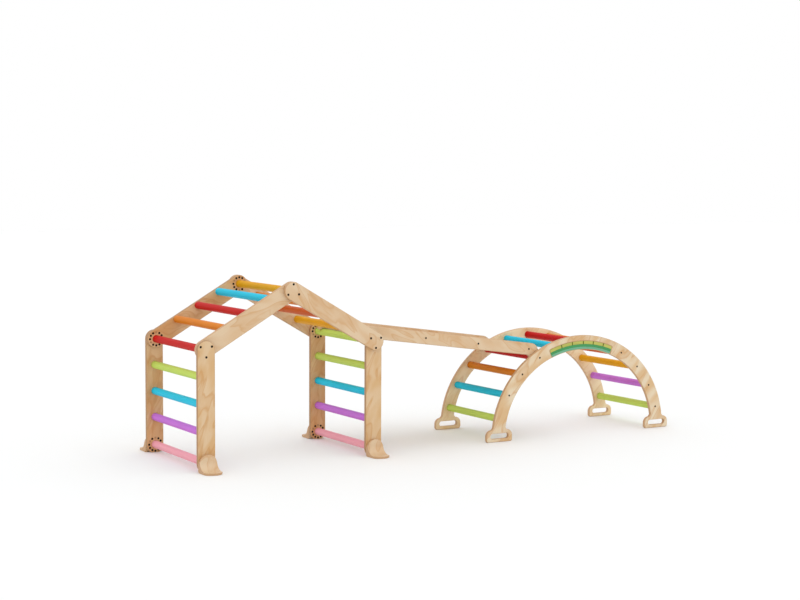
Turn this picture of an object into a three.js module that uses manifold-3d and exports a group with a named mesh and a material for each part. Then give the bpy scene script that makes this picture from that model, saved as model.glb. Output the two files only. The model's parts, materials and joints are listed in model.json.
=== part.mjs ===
// A climbing set for small children: a house-shaped frame of four hinged ladder sections, an arch climber
// and a slide between them. Millimetres, +Z up, +X from the house to the arch, and the front is -Y.
// The sections' ends lap side by side on a rung that is their axle. One rail of each pair has a ring of
// index holes around that axle, and three pins through the other rail lock the angle in steps of a hole.
import * as THREE from "three";
import { mergeVertices } from "three/addons/utils/BufferGeometryUtils.js";
import Module from "manifold-3d";

const wasm = await Module();
wasm.setup();

// Boards and dowels, and how closely they fit
const BOARD = 18;
const RUNG_D = 34;
const SOCKET_DEPTH = 9;
const FIT = 0.3;
const TURN_GAP = 0.5;
const AXLE_GAP = 0.5;
const CUT = 1;
const WELD = 0.001;

// The house-shaped frame
const FRAME_W = 600;
const RAIL_W = 82;
const RUNG_PITCH = 120;
const BAYS = 4;
const LOWEST_BAY = 127;
const ROOF_SLOPE = THREE.MathUtils.degToRad(30);
const LEG_LIFT = 1;
const LEG_END_CUT = 5;
const INNER_RUNG_SHIFT = 12;
const TENON_D = 22;
const INDEX_EDGE = 11;
const INDEX_HOLE_D = 8;
const INDEX_HOLES = 12;
const LOCK_PINS = 3;

// The four feet of the frame
const TOE_REACH = 97;
const TOE_H = 10;
const TOE_ROUND = 28;
const INSTEP_RUN = 47;
const INSTEP_RISE = 40;

// The arch climber: its rails' centre lines are half ellipses
const ARCH_INSET = 60;
const ARCH_DISTANCE = 1199;
const ARCH_HALF_SPAN = 484;
const ARCH_RISE = 446;
const ARCH_CENTRE_H = 12;
const ARCH_RAIL_W = 70;
const ARCH_RUNGS = 11;
const ARCH_FIRST_RUNG = THREE.MathUtils.degToRad(12.5);
const ARCH_SOCKET_DEPTH = 6;
const ARCH_FOOT_REACH = 480;
const ARCH_FOOT_L = 148;
const ARCH_FOOT_H = 58;
const ARCH_SHOULDER_R = 29;
const ARCH_SOLE_R = 12;
const ARCH_THROAT_R = 10;
const GRIP_WALL = 22;
const GRIP_H = 25;

// The rainbow let into the front of the arch
const RAINBOW_HALF_ANGLE = THREE.MathUtils.degToRad(23);
const RAINBOW_RIM = 2;
const RAINBOW_DEPTH = 2;
const RAINBOW_WIDTHS = [11, 13, 15];

// The slide, hung on a rung at its upper end and resting on one at its lower end
const UNDER_SLIDE_RUNGS = 3;
const RAMP_RAIL_H = 59;
const RAMP_RISE = 6.6;
const RAMP_SIDE_GAP = 2;
const SEAT_GAP = 1;
const HOOK_WALL = 14;
const HOOK_DROP = 10;
const HOOK_FLANK = 14;
const HOOK_LIP_TURN = THREE.MathUtils.degToRad(45);
const NOTCH_PLAY = 12;
const RAMP_END_R = 20;
const TAIL_ROUND = 46;
const TAIL_PAST_RUNG = 6;
const DECK_T = 15;
const DECK_START = 12;
const DECK_STOP = 32;

// How finely the curves are cut into facets
const RUNG_SIDES = 16;
const PIN_SIDES = 8;
const END_STEPS = 12;
const CORNER_STEPS = 6;
const ARCH_STEPS = 30;

const PAINT = {
  wood: 0xd9b88f,
  deck: 0xdfc29c,
  red: 0xcc3433,
  orange: 0xe8803a,
  rust: 0xc9602b,
  amber: 0xdfa02f,
  lime: 0xb6d25e,
  cyan: 0x3fb8d8,
  violet: 0xb565c4,
  pink: 0xeb9bac,
  green: 0x5da265,
  teal: 0x7fb39d,
};

// Sizes that follow from those above
const RUNG_R = RUNG_D / 2;
const RAIL_R = RAIL_W / 2;
const INDEX_R = RAIL_R - INDEX_EDGE;
const FOOT_AXIS_H = RAIL_R - LEG_END_CUT + LEG_LIFT;
const SECTION = RUNG_PITCH * BAYS;
const LEG_SECTION = LOWEST_BAY + SECTION - RUNG_PITCH;
const JOINT_H = FOOT_AXIS_H + LEG_SECTION;
const ROOF_RUN = SECTION * Math.cos(ROOF_SLOPE);
const ROOF_TURN = Math.PI / 2 - ROOF_SLOPE;
const OUTER_FACE = FRAME_W / 2 - BOARD;
const INNER_FACE = OUTER_FACE - TURN_GAP - BOARD;
const ARCH_W = FRAME_W - 2 * ARCH_INSET;
const ARCH_FACE = ARCH_W / 2 - BOARD;
const GRIP_L = ARCH_FOOT_L - 2 * GRIP_WALL;
const RAMP_FACE = ARCH_FACE - RAMP_SIDE_GAP - BOARD;
const HOUSE_L = 2 * ROOF_RUN;
const ARCH_X = HOUSE_L + ARCH_DISTANCE;
const SET_L = RAIL_R + ARCH_X + ARCH_FOOT_REACH + ARCH_FOOT_L / 2;

/** Points of an ellipse's arc in a plane, from one angle to another. */
function arc([x, y], rx, ry, from, to, steps) {
  return Array.from({ length: steps + 1 }, (_, i) => {
    const a = from + ((to - from) * i) / steps;
    return [x + rx * Math.cos(a), y + ry * Math.sin(a)];
  });
}

/** Points of a circle's arc, with its angles in quarter turns. */
function round(centre, r, from, to, steps) {
  return arc(centre, r, r, (from * Math.PI) / 2, (to * Math.PI) / 2, steps);
}

/** A closed geometry as a solid that can be joined and cut. */
function solidOf(geometry) {
  geometry.deleteAttribute("normal");
  geometry.deleteAttribute("uv");
  const merged = mergeVertices(geometry, WELD);
  return new wasm.Manifold(
    new wasm.Mesh({
      numProp: 3,
      vertProperties: merged.attributes.position.array,
      triVerts: new Uint32Array(merged.index.array),
    }),
  );
}

/** An outline extruded between two places on the axis that its plane leaves out. */
function extrude(points, from, to, across, up, along) {
  const shape = new THREE.Shape(points.map(([x, y]) => new THREE.Vector2(x, y)));
  const geometry = new THREE.ExtrudeGeometry(shape, { depth: to - from, bevelEnabled: false });
  geometry.translate(0, 0, from);
  geometry.applyMatrix4(new THREE.Matrix4().makeBasis(across, up, along));
  return solidOf(geometry);
}

const X = new THREE.Vector3(1, 0, 0);
const Y = new THREE.Vector3(0, 1, 0);
const Z = new THREE.Vector3(0, 0, 1);

/** A plate with its outline in X and Z, from one place on Y to another, in either order. */
function plate(points, y0, y1) {
  return extrude(points, -Math.max(y0, y1), -Math.min(y0, y1), X, Z, Y.clone().negate());
}

/** A round bar along Y between two places, in either order. */
function bar(d, y0, y1, [x, z] = [0, 0], sides = RUNG_SIDES) {
  const geometry = new THREE.CylinderGeometry(d / 2, d / 2, Math.abs(y1 - y0), sides);
  return solidOf(geometry.translate(x, (y0 + y1) / 2, z));
}

/** Bars for a circle of small holes around a centre. */
function ringOfBars(count, start, y0, y1, z) {
  return Array.from({ length: count }, (_, i) => {
    const a = start + (2 * Math.PI * i) / count;
    const place = [INDEX_R * Math.cos(a), z + INDEX_R * Math.sin(a)];
    return bar(INDEX_HOLE_D, y0, y1, place, PIN_SIDES);
  });
}

/** A named mesh of a solid. */
function part(name, solid, colour, roughness = 0.55) {
  const { numProp, numVert, vertProperties, triVerts } = solid.getMesh();
  const position = new Float32Array(numVert * 3);
  for (let i = 0; i < numVert; i++) {
    position.set(vertProperties.subarray(i * numProp, i * numProp + 3), i * 3);
  }
  const geometry = new THREE.BufferGeometry();
  geometry.setAttribute("position", new THREE.BufferAttribute(position, 3));
  geometry.setIndex(new THREE.BufferAttribute(triVerts, 1));
  geometry.computeVertexNormals();
  const material = new THREE.MeshStandardMaterial({ color: colour, roughness, metalness: 0 });
  const mesh = new THREE.Mesh(geometry, material);
  mesh.name = name;
  return mesh;
}

/** Calls a maker for the front, at -Y, and for the back. */
function bothSides(make) {
  return [make("front", -1), make("back", 1)];
}

/** The outline of a roof rail, with round ends about its two axes. */
function roofRailOutline() {
  return [
    ...round([0, 0], RAIL_R, 2, 4, END_STEPS),
    ...round([0, SECTION], RAIL_R, 0, 2, END_STEPS),
  ];
}

/** The outline of a leg rail, whose lower end is round too, but cut off level just above the floor. */
function legRailOutline() {
  const turn = Math.asin((RAIL_R - LEG_END_CUT) / RAIL_R);
  return [
    ...arc([0, 0], RAIL_R, RAIL_R, Math.PI, Math.PI + turn, CORNER_STEPS),
    ...arc([0, 0], RAIL_R, RAIL_R, 2 * Math.PI - turn, 2 * Math.PI, CORNER_STEPS),
    ...round([0, LEG_SECTION], RAIL_R, 0, 2, END_STEPS),
  ];
}

// What each end of a rail does: it carries the axle and the lock pins, turns on the axle inside a ring of
// index holes, or stands on a foot that turns on the lowest rung inside such a ring.
const CARRY = "carry";
const TURN = "turn";
const STAND = "stand";

// Where the first of the lock pins sits round an end that carries them, for the front and the back rail
const UPRIGHT = Math.PI / 2;
const LEANING = Math.PI / 6;

/** Cutters for one end of a rail whose inner face is at a given distance from the middle. */
function endCuts(kind, z, face, side, pinStart) {
  const inside = side * (face - CUT);
  const through = side * (face + BOARD + CUT);
  if (kind === CARRY) {
    const pins = ringOfBars(LOCK_PINS, pinStart, inside, through, z);
    return [bar(RUNG_D + 2 * FIT, inside, side * (face + SOCKET_DEPTH), [0, z]), ...pins];
  }
  const gap = kind === TURN ? AXLE_GAP : FIT;
  return [
    bar(RUNG_D + 2 * gap, inside, through, [0, z]),
    ...ringOfBars(INDEX_HOLES, 0, inside, through, z),
  ];
}

/** The places of a section's rungs between its two axes, from the height of the first. */
function rungPlaces(out, first) {
  return Array.from({ length: BAYS - 1 }, (_, i) => [out, first + i * RUNG_PITCH]);
}

/** A pair of rails, with sockets for the section's own rungs. */
function rails(name, outline, face, ends, places, socketD) {
  return bothSides((where, side) => {
    const blank = plate(outline, side * face, side * (face + BOARD));
    const sockets = places.map((place) =>
      bar(socketD, side * (face - CUT), side * (face + SOCKET_DEPTH), place),
    );
    const cuts = ends.flatMap(([kind, z, frontPin, backPin]) =>
      endCuts(kind, z, face, side, side < 0 ? frontPin : backPin),
    );
    return part(`${name}_rail_${where}`, wasm.Manifold.difference([blank, ...sockets, ...cuts]), PAINT.wood);
  });
}

/** A plain rung whose ends reach a given distance from the middle. */
function rung(name, reach, [x, z], colour) {
  return part(name, bar(RUNG_D, -reach, reach, [x, z]), PAINT[colour], 0.4);
}

/** A rung with a turned-down tenon at each end, so that it can lie flush with its rails' edge. */
function tenonRung(name, face, [x, z], colour) {
  const shoulder = face - FIT;
  const tip = face + SOCKET_DEPTH - FIT;
  const body = bar(RUNG_D, -shoulder, shoulder, [x, z]);
  return part(name, body.add(bar(TENON_D, -tip, tip, [x, z])), PAINT[colour], 0.4);
}

/** One foot: a board with a round top that sweeps out into a round toe. */
function foot(name, face, side) {
  const top = FOOT_AXIS_H + RAIL_R;
  const front = [
    [-RAIL_R, 0],
    [RAIL_R, 0],
    ...round([0, FOOT_AXIS_H], RAIL_R, 0, 2, END_STEPS),
  ];
  const instep = [BOARD + INSTEP_RUN, TOE_H + INSTEP_RISE];
  const sweep = arc(instep, INSTEP_RUN, INSTEP_RISE, Math.PI, 1.5 * Math.PI, CORNER_STEPS);
  const profile = [[0, top], [0, 0], [TOE_REACH, 0], [TOE_REACH, TOE_H], ...sweep.reverse(), [BOARD, top]];
  const toeEnd = arc([0, TOE_REACH - TOE_ROUND], RAIL_R, TOE_ROUND, 0, Math.PI, END_STEPS);
  const plan = [[RAIL_R, 0], ...toeEnd, [-RAIL_R, 0]];
  const outward = ([y, z]) => [side * (face + y), z];
  const board = plate(front, side * face, side * (face + TOE_REACH));
  const swept = extrude(profile.map(outward), -RAIL_W, RAIL_W, Y, Z, X);
  const toe = extrude(plan.map(([x, y]) => [x, side * (face + y)]), 0, top, X, Y, Z);
  const socket = bar(
    RUNG_D + 2 * AXLE_GAP,
    side * (face - CUT),
    side * (face + SOCKET_DEPTH),
    [0, FOOT_AXIS_H],
  );
  const mesh = part(name, board.intersect(swept).intersect(toe).subtract(socket), PAINT.wood);
  mesh.position.set(0, 0, -FOOT_AXIS_H);
  return mesh;
}

/** A leg of the house: a ladder section that stands on two feet, its lowest axis at the origin. */
function leg(name, face, topEnd, colours) {
  const group = new THREE.Group();
  const places = rungPlaces(0, LOWEST_BAY);
  const footFace = face + BOARD + TURN_GAP;
  group.add(
    ...rails(name, legRailOutline(), face, [[STAND, 0], topEnd], places, RUNG_D + 2 * FIT),
    ...places.map((place, i) =>
      rung(`${name}_rung_${i + 1}`, face + SOCKET_DEPTH - FIT, place, colours[i + 1]),
    ),
    rung(`${name}_foot_rung`, footFace + SOCKET_DEPTH - FIT, [0, 0], colours[0]),
    ...bothSides((where, side) => foot(`${name}_foot_${where}`, footFace, side)),
  );
  return group;
}

/** The left slope of the roof: inner rails, with the rungs flush with their upper edge. */
function leftRoof() {
  const group = new THREE.Group();
  const places = rungPlaces(RUNG_R - RAIL_R, RUNG_PITCH + INNER_RUNG_SHIFT);
  const colours = ["orange", "red", "cyan"];
  const ends = [[TURN, 0], [TURN, SECTION]];
  group.add(
    ...rails("left_roof", roofRailOutline(), INNER_FACE, ends, places, TENON_D + 2 * FIT),
    ...places.map((place, i) => tenonRung(`left_roof_rung_${i + 1}`, INNER_FACE, place, colours[i])),
  );
  return group;
}

/** The right slope of the roof: outer rails that carry the axles of both their ends. */
function rightRoof() {
  const group = new THREE.Group();
  const places = rungPlaces(0, RUNG_PITCH);
  const colours = ["amber", "rust", "orange"];
  const reach = OUTER_FACE + SOCKET_DEPTH - FIT;
  const ends = [[CARRY, 0, UPRIGHT, LEANING], [CARRY, SECTION, LEANING, UPRIGHT]];
  group.add(
    ...rails("right_roof", roofRailOutline(), OUTER_FACE, ends, places, RUNG_D + 2 * FIT),
    ...places.map((place, i) => rung(`right_roof_rung_${i + 1}`, reach, place, colours[i])),
    rung("right_joint_rung", reach, [0, 0], "lime"),
    rung("apex_rung", reach, [0, SECTION], "amber"),
  );
  return group;
}

/** The house: two legs and two roof slopes about three axles. */
function house() {
  const group = new THREE.Group();
  const colours = ["pink", "violet", "cyan", "lime"];
  const leftLeg = leg("left_leg", OUTER_FACE, [CARRY, LEG_SECTION, LEANING, UPRIGHT], colours);
  leftLeg.position.set(0, 0, FOOT_AXIS_H);
  leftLeg.add(rung("left_joint_rung", OUTER_FACE + SOCKET_DEPTH - FIT, [0, LEG_SECTION], "red"));
  const rightLeg = leg("right_leg", INNER_FACE, [TURN, LEG_SECTION], colours);
  rightLeg.position.set(HOUSE_L, 0, FOOT_AXIS_H);
  const left = leftRoof();
  left.position.set(0, 0, JOINT_H);
  left.rotation.y = ROOF_TURN;
  const right = rightRoof();
  right.position.set(HOUSE_L, 0, JOINT_H);
  right.rotation.y = -ROOF_TURN;
  group.add(leftLeg, rightLeg, left, right);
  return group;
}

/** Half-axes of the arch's ellipse, a given distance outside its rails' centre line. */
function archAxes(out) {
  return [ARCH_HALF_SPAN + out, ARCH_RISE + out];
}

/** Points along the arch, a given distance outside its centre line. */
function archCurve(out, from, to, steps = ARCH_STEPS) {
  const [rx, rz] = archAxes(out);
  return arc([0, ARCH_CENTRE_H], rx, rz, from, to, steps);
}

/** The angle at which the arch's edge comes down to a given height. */
function archAngleAt(out, height) {
  return Math.asin((height - ARCH_CENTRE_H) / archAxes(out)[1]);
}

/** The right foot's outline, from the arch's outer edge round to its inner edge. */
function archFootOutline() {
  const outerX = archCurve(ARCH_RAIL_W / 2, archAngleAt(ARCH_RAIL_W / 2, ARCH_FOOT_H), 0, 1)[0][0];
  const innerX = archCurve(-ARCH_RAIL_W / 2, archAngleAt(-ARCH_RAIL_W / 2, ARCH_FOOT_H), 0, 1)[0][0];
  const toe = ARCH_FOOT_REACH + ARCH_FOOT_L / 2;
  const heel = ARCH_FOOT_REACH - ARCH_FOOT_L / 2;
  const r = ARCH_SHOULDER_R;
  const s = ARCH_SOLE_R;
  return [
    ...round([toe - r, ARCH_FOOT_H - r], r, 1, 0, CORNER_STEPS),
    ...round([toe - s, s], s, 0, -1, CORNER_STEPS / 2),
    ...round([heel + s, s], s, -1, -2, CORNER_STEPS / 2),
    ...round([heel + r, ARCH_FOOT_H - r], r, 2, 1, CORNER_STEPS),
  ].filter(([x, z]) => z < ARCH_FOOT_H || x > outerX || x < innerX);
}

/** The outline of an arch rail with both its feet. */
function archRailOutline() {
  const half = ARCH_RAIL_W / 2;
  const outer = archAngleAt(half, ARCH_FOOT_H + ARCH_THROAT_R);
  const inner = archAngleAt(-half, ARCH_FOOT_H + ARCH_THROAT_R);
  const rightFoot = archFootOutline();
  const leftFoot = rightFoot.map(([x, z]) => [-x, z]).reverse();
  return [
    ...archCurve(half, Math.PI - outer, outer),
    ...rightFoot,
    ...archCurve(-half, inner, Math.PI - inner),
    ...leftFoot,
  ];
}

/** The hand grip through one foot. */
function grip(x, y0, y1) {
  const r = GRIP_H / 2;
  const half = GRIP_L / 2 - r;
  const outline = [
    ...round([x + half, ARCH_FOOT_H / 2], r, -1, 1, CORNER_STEPS),
    ...round([x - half, ARCH_FOOT_H / 2], r, 1, 3, CORNER_STEPS),
  ];
  return plate(outline, y0, y1);
}

/** The places of the arch's rungs, from its left foot over the top to its right foot. */
function archRungPlaces() {
  const step = (Math.PI - 2 * ARCH_FIRST_RUNG) / (ARCH_RUNGS - 1);
  return Array.from({ length: ARCH_RUNGS }, (_, i) => {
    const a = Math.PI - ARCH_FIRST_RUNG - step * i;
    return [ARCH_HALF_SPAN * Math.cos(a), ARCH_CENTRE_H + ARCH_RISE * Math.sin(a)];
  });
}

/** A curved strip of the rainbow between two distances outside the arch's centre line. */
function strip(low, high, halfAngle, y0, y1) {
  const from = Math.PI / 2 - halfAngle;
  const to = Math.PI / 2 + halfAngle;
  const steps = ARCH_STEPS / 2;
  return plate([...archCurve(high, from, to, steps), ...archCurve(low, to, from, steps)], y0, y1);
}

/** The rainbow's bands, each with a little play to the next and to its pocket. */
function rainbow(front) {
  let low = RAINBOW_RIM - ARCH_RAIL_W / 2;
  const play = FIT / ARCH_RISE;
  return RAINBOW_WIDTHS.map((width, i) => {
    const colour = [PAINT.teal, PAINT.green, PAINT.lime][i];
    const solid = strip(
      low + FIT,
      low + width,
      RAINBOW_HALF_ANGLE - play,
      front,
      front + RAINBOW_DEPTH - FIT,
    );
    low += width;
    return part(`rainbow_band_${i + 1}`, solid, colour, 0.5);
  });
}

/** The arch climber about its middle. */
function arch() {
  const group = new THREE.Group();
  const places = archRungPlaces();
  const front = -ARCH_W / 2;
  const low = RAINBOW_RIM - ARCH_RAIL_W / 2;
  const width = RAINBOW_WIDTHS.reduce((sum, w) => sum + w, FIT);
  const pocket = strip(low, low + width, RAINBOW_HALF_ANGLE, front - CUT, front + RAINBOW_DEPTH);
  const archRails = bothSides((where, side) => {
    const outside = side * (ARCH_W / 2);
    const blank = plate(archRailOutline(), side * ARCH_FACE, outside);
    const grips = [-1, 1].map((end) =>
      grip(end * ARCH_FOOT_REACH, side * (ARCH_FACE - CUT), outside + side * CUT),
    );
    const sockets = places.map((place) =>
      bar(RUNG_D + 2 * FIT, side * (ARCH_FACE - CUT), side * (ARCH_FACE + ARCH_SOCKET_DEPTH), place),
    );
    const inlay = side < 0 ? [pocket] : [];
    const solid = wasm.Manifold.difference([blank, ...grips, ...sockets, ...inlay]);
    return part(`arch_rail_${where}`, solid, PAINT.wood);
  });
  const colours = [
    "lime", "cyan", "orange", "red", "cyan", "red", "orange", "rust", "amber", "violet", "lime",
  ];
  const reach = ARCH_FACE + ARCH_SOCKET_DEPTH - FIT;
  const rungs = places.map((place, i) => rung(`arch_rung_${i + 1}`, reach, place, colours[i]));
  group.add(...archRails, ...rungs, ...rainbow(front));
  group.position.x = ARCH_X;
  return group;
}

/** The seat of the hook on its axle, with a short lip on the house's side and a lobe on the other. */
function hookOutline(seat) {
  const lobe = HOOK_WALL / 2;
  const lean = Math.cos(HOOK_LIP_TURN);
  const lipR = (seat + HOOK_WALL - seat * lean) / (1 + lean);
  const lip = [-(seat + lipR) * lean, (seat + lipR) * Math.sin(HOOK_LIP_TURN)];
  return [
    ...arc(lip, lipR, lipR, Math.PI, 2 * Math.PI - HOOK_LIP_TURN, CORNER_STEPS),
    ...arc([0, 0], seat, seat, Math.PI - HOOK_LIP_TURN, 0, END_STEPS).slice(1),
    ...round([seat + lobe, lobe - HOOK_DROP], lobe, 2, 4, CORNER_STEPS),
  ];
}

/**
 * The outline of a slide rail, along the line from the axle at its upper end to the arch's rung. It hooks
 * over the axle, and a square notch, open towards the arch and wider than the rung, sits on it.
 */
function rampRailOutline(span, tilt) {
  const seat = RUNG_R + SEAT_GAP;
  const lobe = HOOK_WALL / 2;
  const top = RAMP_RISE + RAMP_RAIL_H;
  const end = -seat - HOOK_WALL;
  const flank = seat + HOOK_WALL + HOOK_FLANK;
  const heel = span - NOTCH_PLAY;
  const level = (x, z) => [
    span + x * Math.cos(tilt) - z * Math.sin(tilt),
    x * Math.sin(tilt) + z * Math.cos(tilt),
  ];
  const tip = level(TAIL_PAST_RUNG, seat);
  return [
    ...hookOutline(seat),
    [flank, RAMP_RISE],
    [heel - flank, RAMP_RISE],
    ...round([heel - seat - lobe, lobe - HOOK_DROP], lobe, 2, 4, CORNER_STEPS),
    level(-seat - NOTCH_PLAY, seat),
    ...arc([tip[0] - TAIL_ROUND, tip[1]], TAIL_ROUND, top - tip[1], 0, Math.PI / 2, END_STEPS),
    ...round([end + RAMP_END_R, top - RAMP_END_R], RAMP_END_R, 1, 2, CORNER_STEPS),
  ];
}

/** The slide: a board between two side rails that hook over the house's right axle. */
function ramp() {
  const group = new THREE.Group();
  const [rungX, rungZ] = archRungPlaces()[UNDER_SLIDE_RUNGS];
  const run = ARCH_X + rungX - HOUSE_L;
  const fall = JOINT_H - rungZ;
  const span = Math.hypot(run, fall);
  const tilt = Math.atan2(fall, run);
  const outline = rampRailOutline(span, tilt);
  const deckZ = RAMP_RISE + RAMP_RAIL_H / 2;
  const deck = new THREE.BoxGeometry(span + DECK_START - DECK_STOP, 2 * (RAMP_FACE - FIT), DECK_T);
  deck.translate((span - DECK_START - DECK_STOP) / 2, 0, deckZ);
  group.add(
    ...bothSides((where, side) =>
      part(`slide_rail_${where}`, plate(outline, side * RAMP_FACE, side * (RAMP_FACE + BOARD)), PAINT.wood),
    ),
    part("slide_deck", solidOf(deck), PAINT.deck, 0.35),
  );
  group.position.set(HOUSE_L, 0, JOINT_H);
  group.rotation.y = tilt;
  return group;
}

const set = new THREE.Group();
set.add(house(), arch(), ramp());
set.position.x = RAIL_R - SET_L / 2;

export default set;
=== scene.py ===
"""Looks of a climbing set for small children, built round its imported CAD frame.

The set is a house of four hinged ladder sections, an arch climber with a rainbow, and a slide
between them. Sizes here are millimetres. Meshes are written in metres, in the frame's own
coordinates.
"""

from __future__ import annotations

import json
import logging
import math
import random
from dataclasses import dataclass, field
from enum import Enum
from typing import Any, Callable, Iterable, Sequence

import bpy
from mathutils import Matrix, Vector
from mathutils.geometry import tessellate_polygon

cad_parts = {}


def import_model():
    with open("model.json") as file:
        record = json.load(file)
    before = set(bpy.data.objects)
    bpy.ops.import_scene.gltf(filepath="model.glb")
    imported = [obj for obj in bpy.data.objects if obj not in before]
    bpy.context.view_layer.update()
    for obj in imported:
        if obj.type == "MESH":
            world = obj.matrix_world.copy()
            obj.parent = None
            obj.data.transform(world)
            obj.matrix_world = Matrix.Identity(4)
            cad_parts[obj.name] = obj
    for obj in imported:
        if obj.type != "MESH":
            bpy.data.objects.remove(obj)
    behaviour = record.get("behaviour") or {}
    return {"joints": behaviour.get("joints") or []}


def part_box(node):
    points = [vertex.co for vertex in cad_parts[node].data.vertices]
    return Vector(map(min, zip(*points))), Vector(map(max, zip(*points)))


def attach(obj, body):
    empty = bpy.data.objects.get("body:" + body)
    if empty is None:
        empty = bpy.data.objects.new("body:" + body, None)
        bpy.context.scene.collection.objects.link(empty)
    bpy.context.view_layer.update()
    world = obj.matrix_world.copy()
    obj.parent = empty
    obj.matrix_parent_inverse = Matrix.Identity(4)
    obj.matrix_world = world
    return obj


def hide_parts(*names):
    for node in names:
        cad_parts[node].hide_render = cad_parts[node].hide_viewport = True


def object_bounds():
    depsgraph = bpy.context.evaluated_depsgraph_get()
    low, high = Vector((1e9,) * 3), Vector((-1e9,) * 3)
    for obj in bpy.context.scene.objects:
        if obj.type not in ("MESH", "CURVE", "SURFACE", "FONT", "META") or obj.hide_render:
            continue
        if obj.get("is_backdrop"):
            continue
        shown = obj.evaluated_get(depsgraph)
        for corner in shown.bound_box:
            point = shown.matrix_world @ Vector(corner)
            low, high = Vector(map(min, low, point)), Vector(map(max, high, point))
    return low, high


LOG = logging.getLogger("climbing_set")
METRE = 1000.0
QUARTER = math.pi / 2
# A rounded corner takes up no more than this share of either side
SIDE_SHARE = 0.45
# How far apart pieces may lie in the wood's pattern, so that no two show the same figure
PATTERN_SPREAD = 4000

Point = tuple[float, float]
Loop = list[Point]
Row = tuple[float, float, float, float]


# Plane geometry


def arc(centre: Point, radii: Point, start: float, stop: float, steps: int) -> Loop:
    """Points of an ellipse's arc.

    Args:
        centre: its middle.
        radii: its half-axes.
        start: first angle in radians.
        stop: last angle in radians.
        steps: number of segments.

    Returns:
        The points, both ends included.
    """
    turn = (stop - start) / steps
    return [
        (
            centre[0] + radii[0] * math.cos(start + turn * i),
            centre[1] + radii[1] * math.sin(start + turn * i),
        )
        for i in range(steps + 1)
    ]


def bend(centre: Point, radius: float, start: float, stop: float, steps: int) -> Loop:
    """Points of a circle's arc, its two angles in quarter turns."""
    return arc(centre, (radius, radius), start * QUARTER, stop * QUARTER, steps)


def circle(centre: Point, radius: float, sides: int) -> Loop:
    """A closed circle, counter-clockwise."""
    return bend(centre, radius, 0, 4, sides)[:-1]


def area(loop: Loop) -> float:
    """Signed area of a closed loop, positive when it is counter-clockwise."""
    return sum(a[0] * b[1] - a[1] * b[0] for a, b in zip(loop, loop[1:] + loop[:1])) / 2


def turned(loop: Loop, counter: bool) -> Loop:
    """The loop in the wanted sense, so that the board lies to its left."""
    return loop if (area(loop) > 0) == counter else loop[::-1]


def lefts(loop: Loop) -> list[Vector]:
    """At each corner, the mitre that leads one unit into the board on both sides of it.

    Args:
        loop: the corners, the board to their left.

    Returns:
        One mitre for each corner.
    """
    count = len(loop)
    least = -0.5  # keeps the mitre of a needle-sharp corner short
    sides = []
    for i in range(count):
        step = Vector(loop[(i + 1) % count]) - Vector(loop[i])
        sides.append(Vector((-step.y, step.x)).normalized())
    return [
        (sides[i - 1] + sides[i]) / (1 + max(least, sides[i - 1].dot(sides[i])))
        for i in range(count)
    ]


def rounded(
    back: Vector, corner: Vector, ahead: Vector, reach: float, shares: Iterable[float]
) -> list[Vector]:
    """Points of a smooth bend in place of a corner.

    Args:
        back: the way from the corner to the point before it.
        corner: its place.
        ahead: the way from it to the point after it.
        reach: how far the bend goes along both.
        shares: how far along the bend its points lie.

    Returns:
        The points.
    """
    start = corner + back.normalized() * reach
    stop = corner + ahead.normalized() * reach
    return [start.lerp(corner, t).lerp(corner.lerp(stop, t), t) for t in shares]


def eased(loop: Loop, radius: float, least: float = math.radians(25)) -> Loop:
    """A closed loop with its sharp corners rounded off.

    Args:
        loop: the corners.
        radius: of the rounding.
        least: turns smaller than this stay as they are.

    Returns:
        The rounded loop.
    """
    out: Loop = []
    count = len(loop)
    for i, here in enumerate(loop):
        corner = Vector(here)
        back = Vector(loop[i - 1]) - corner
        ahead = Vector(loop[(i + 1) % count]) - corner
        turn = math.pi - back.angle(ahead)
        if turn < least:
            out.append(here)
            continue
        reach = min(
            radius * math.tan(turn / 2), SIDE_SHARE * back.length, SIDE_SHARE * ahead.length
        )
        steps = max(2, round(turn / least))
        shares = [k / steps for k in range(steps + 1)]
        out += [(p.x, p.y) for p in rounded(back, corner, ahead, reach, shares)]
    return out


# Meshes


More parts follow.
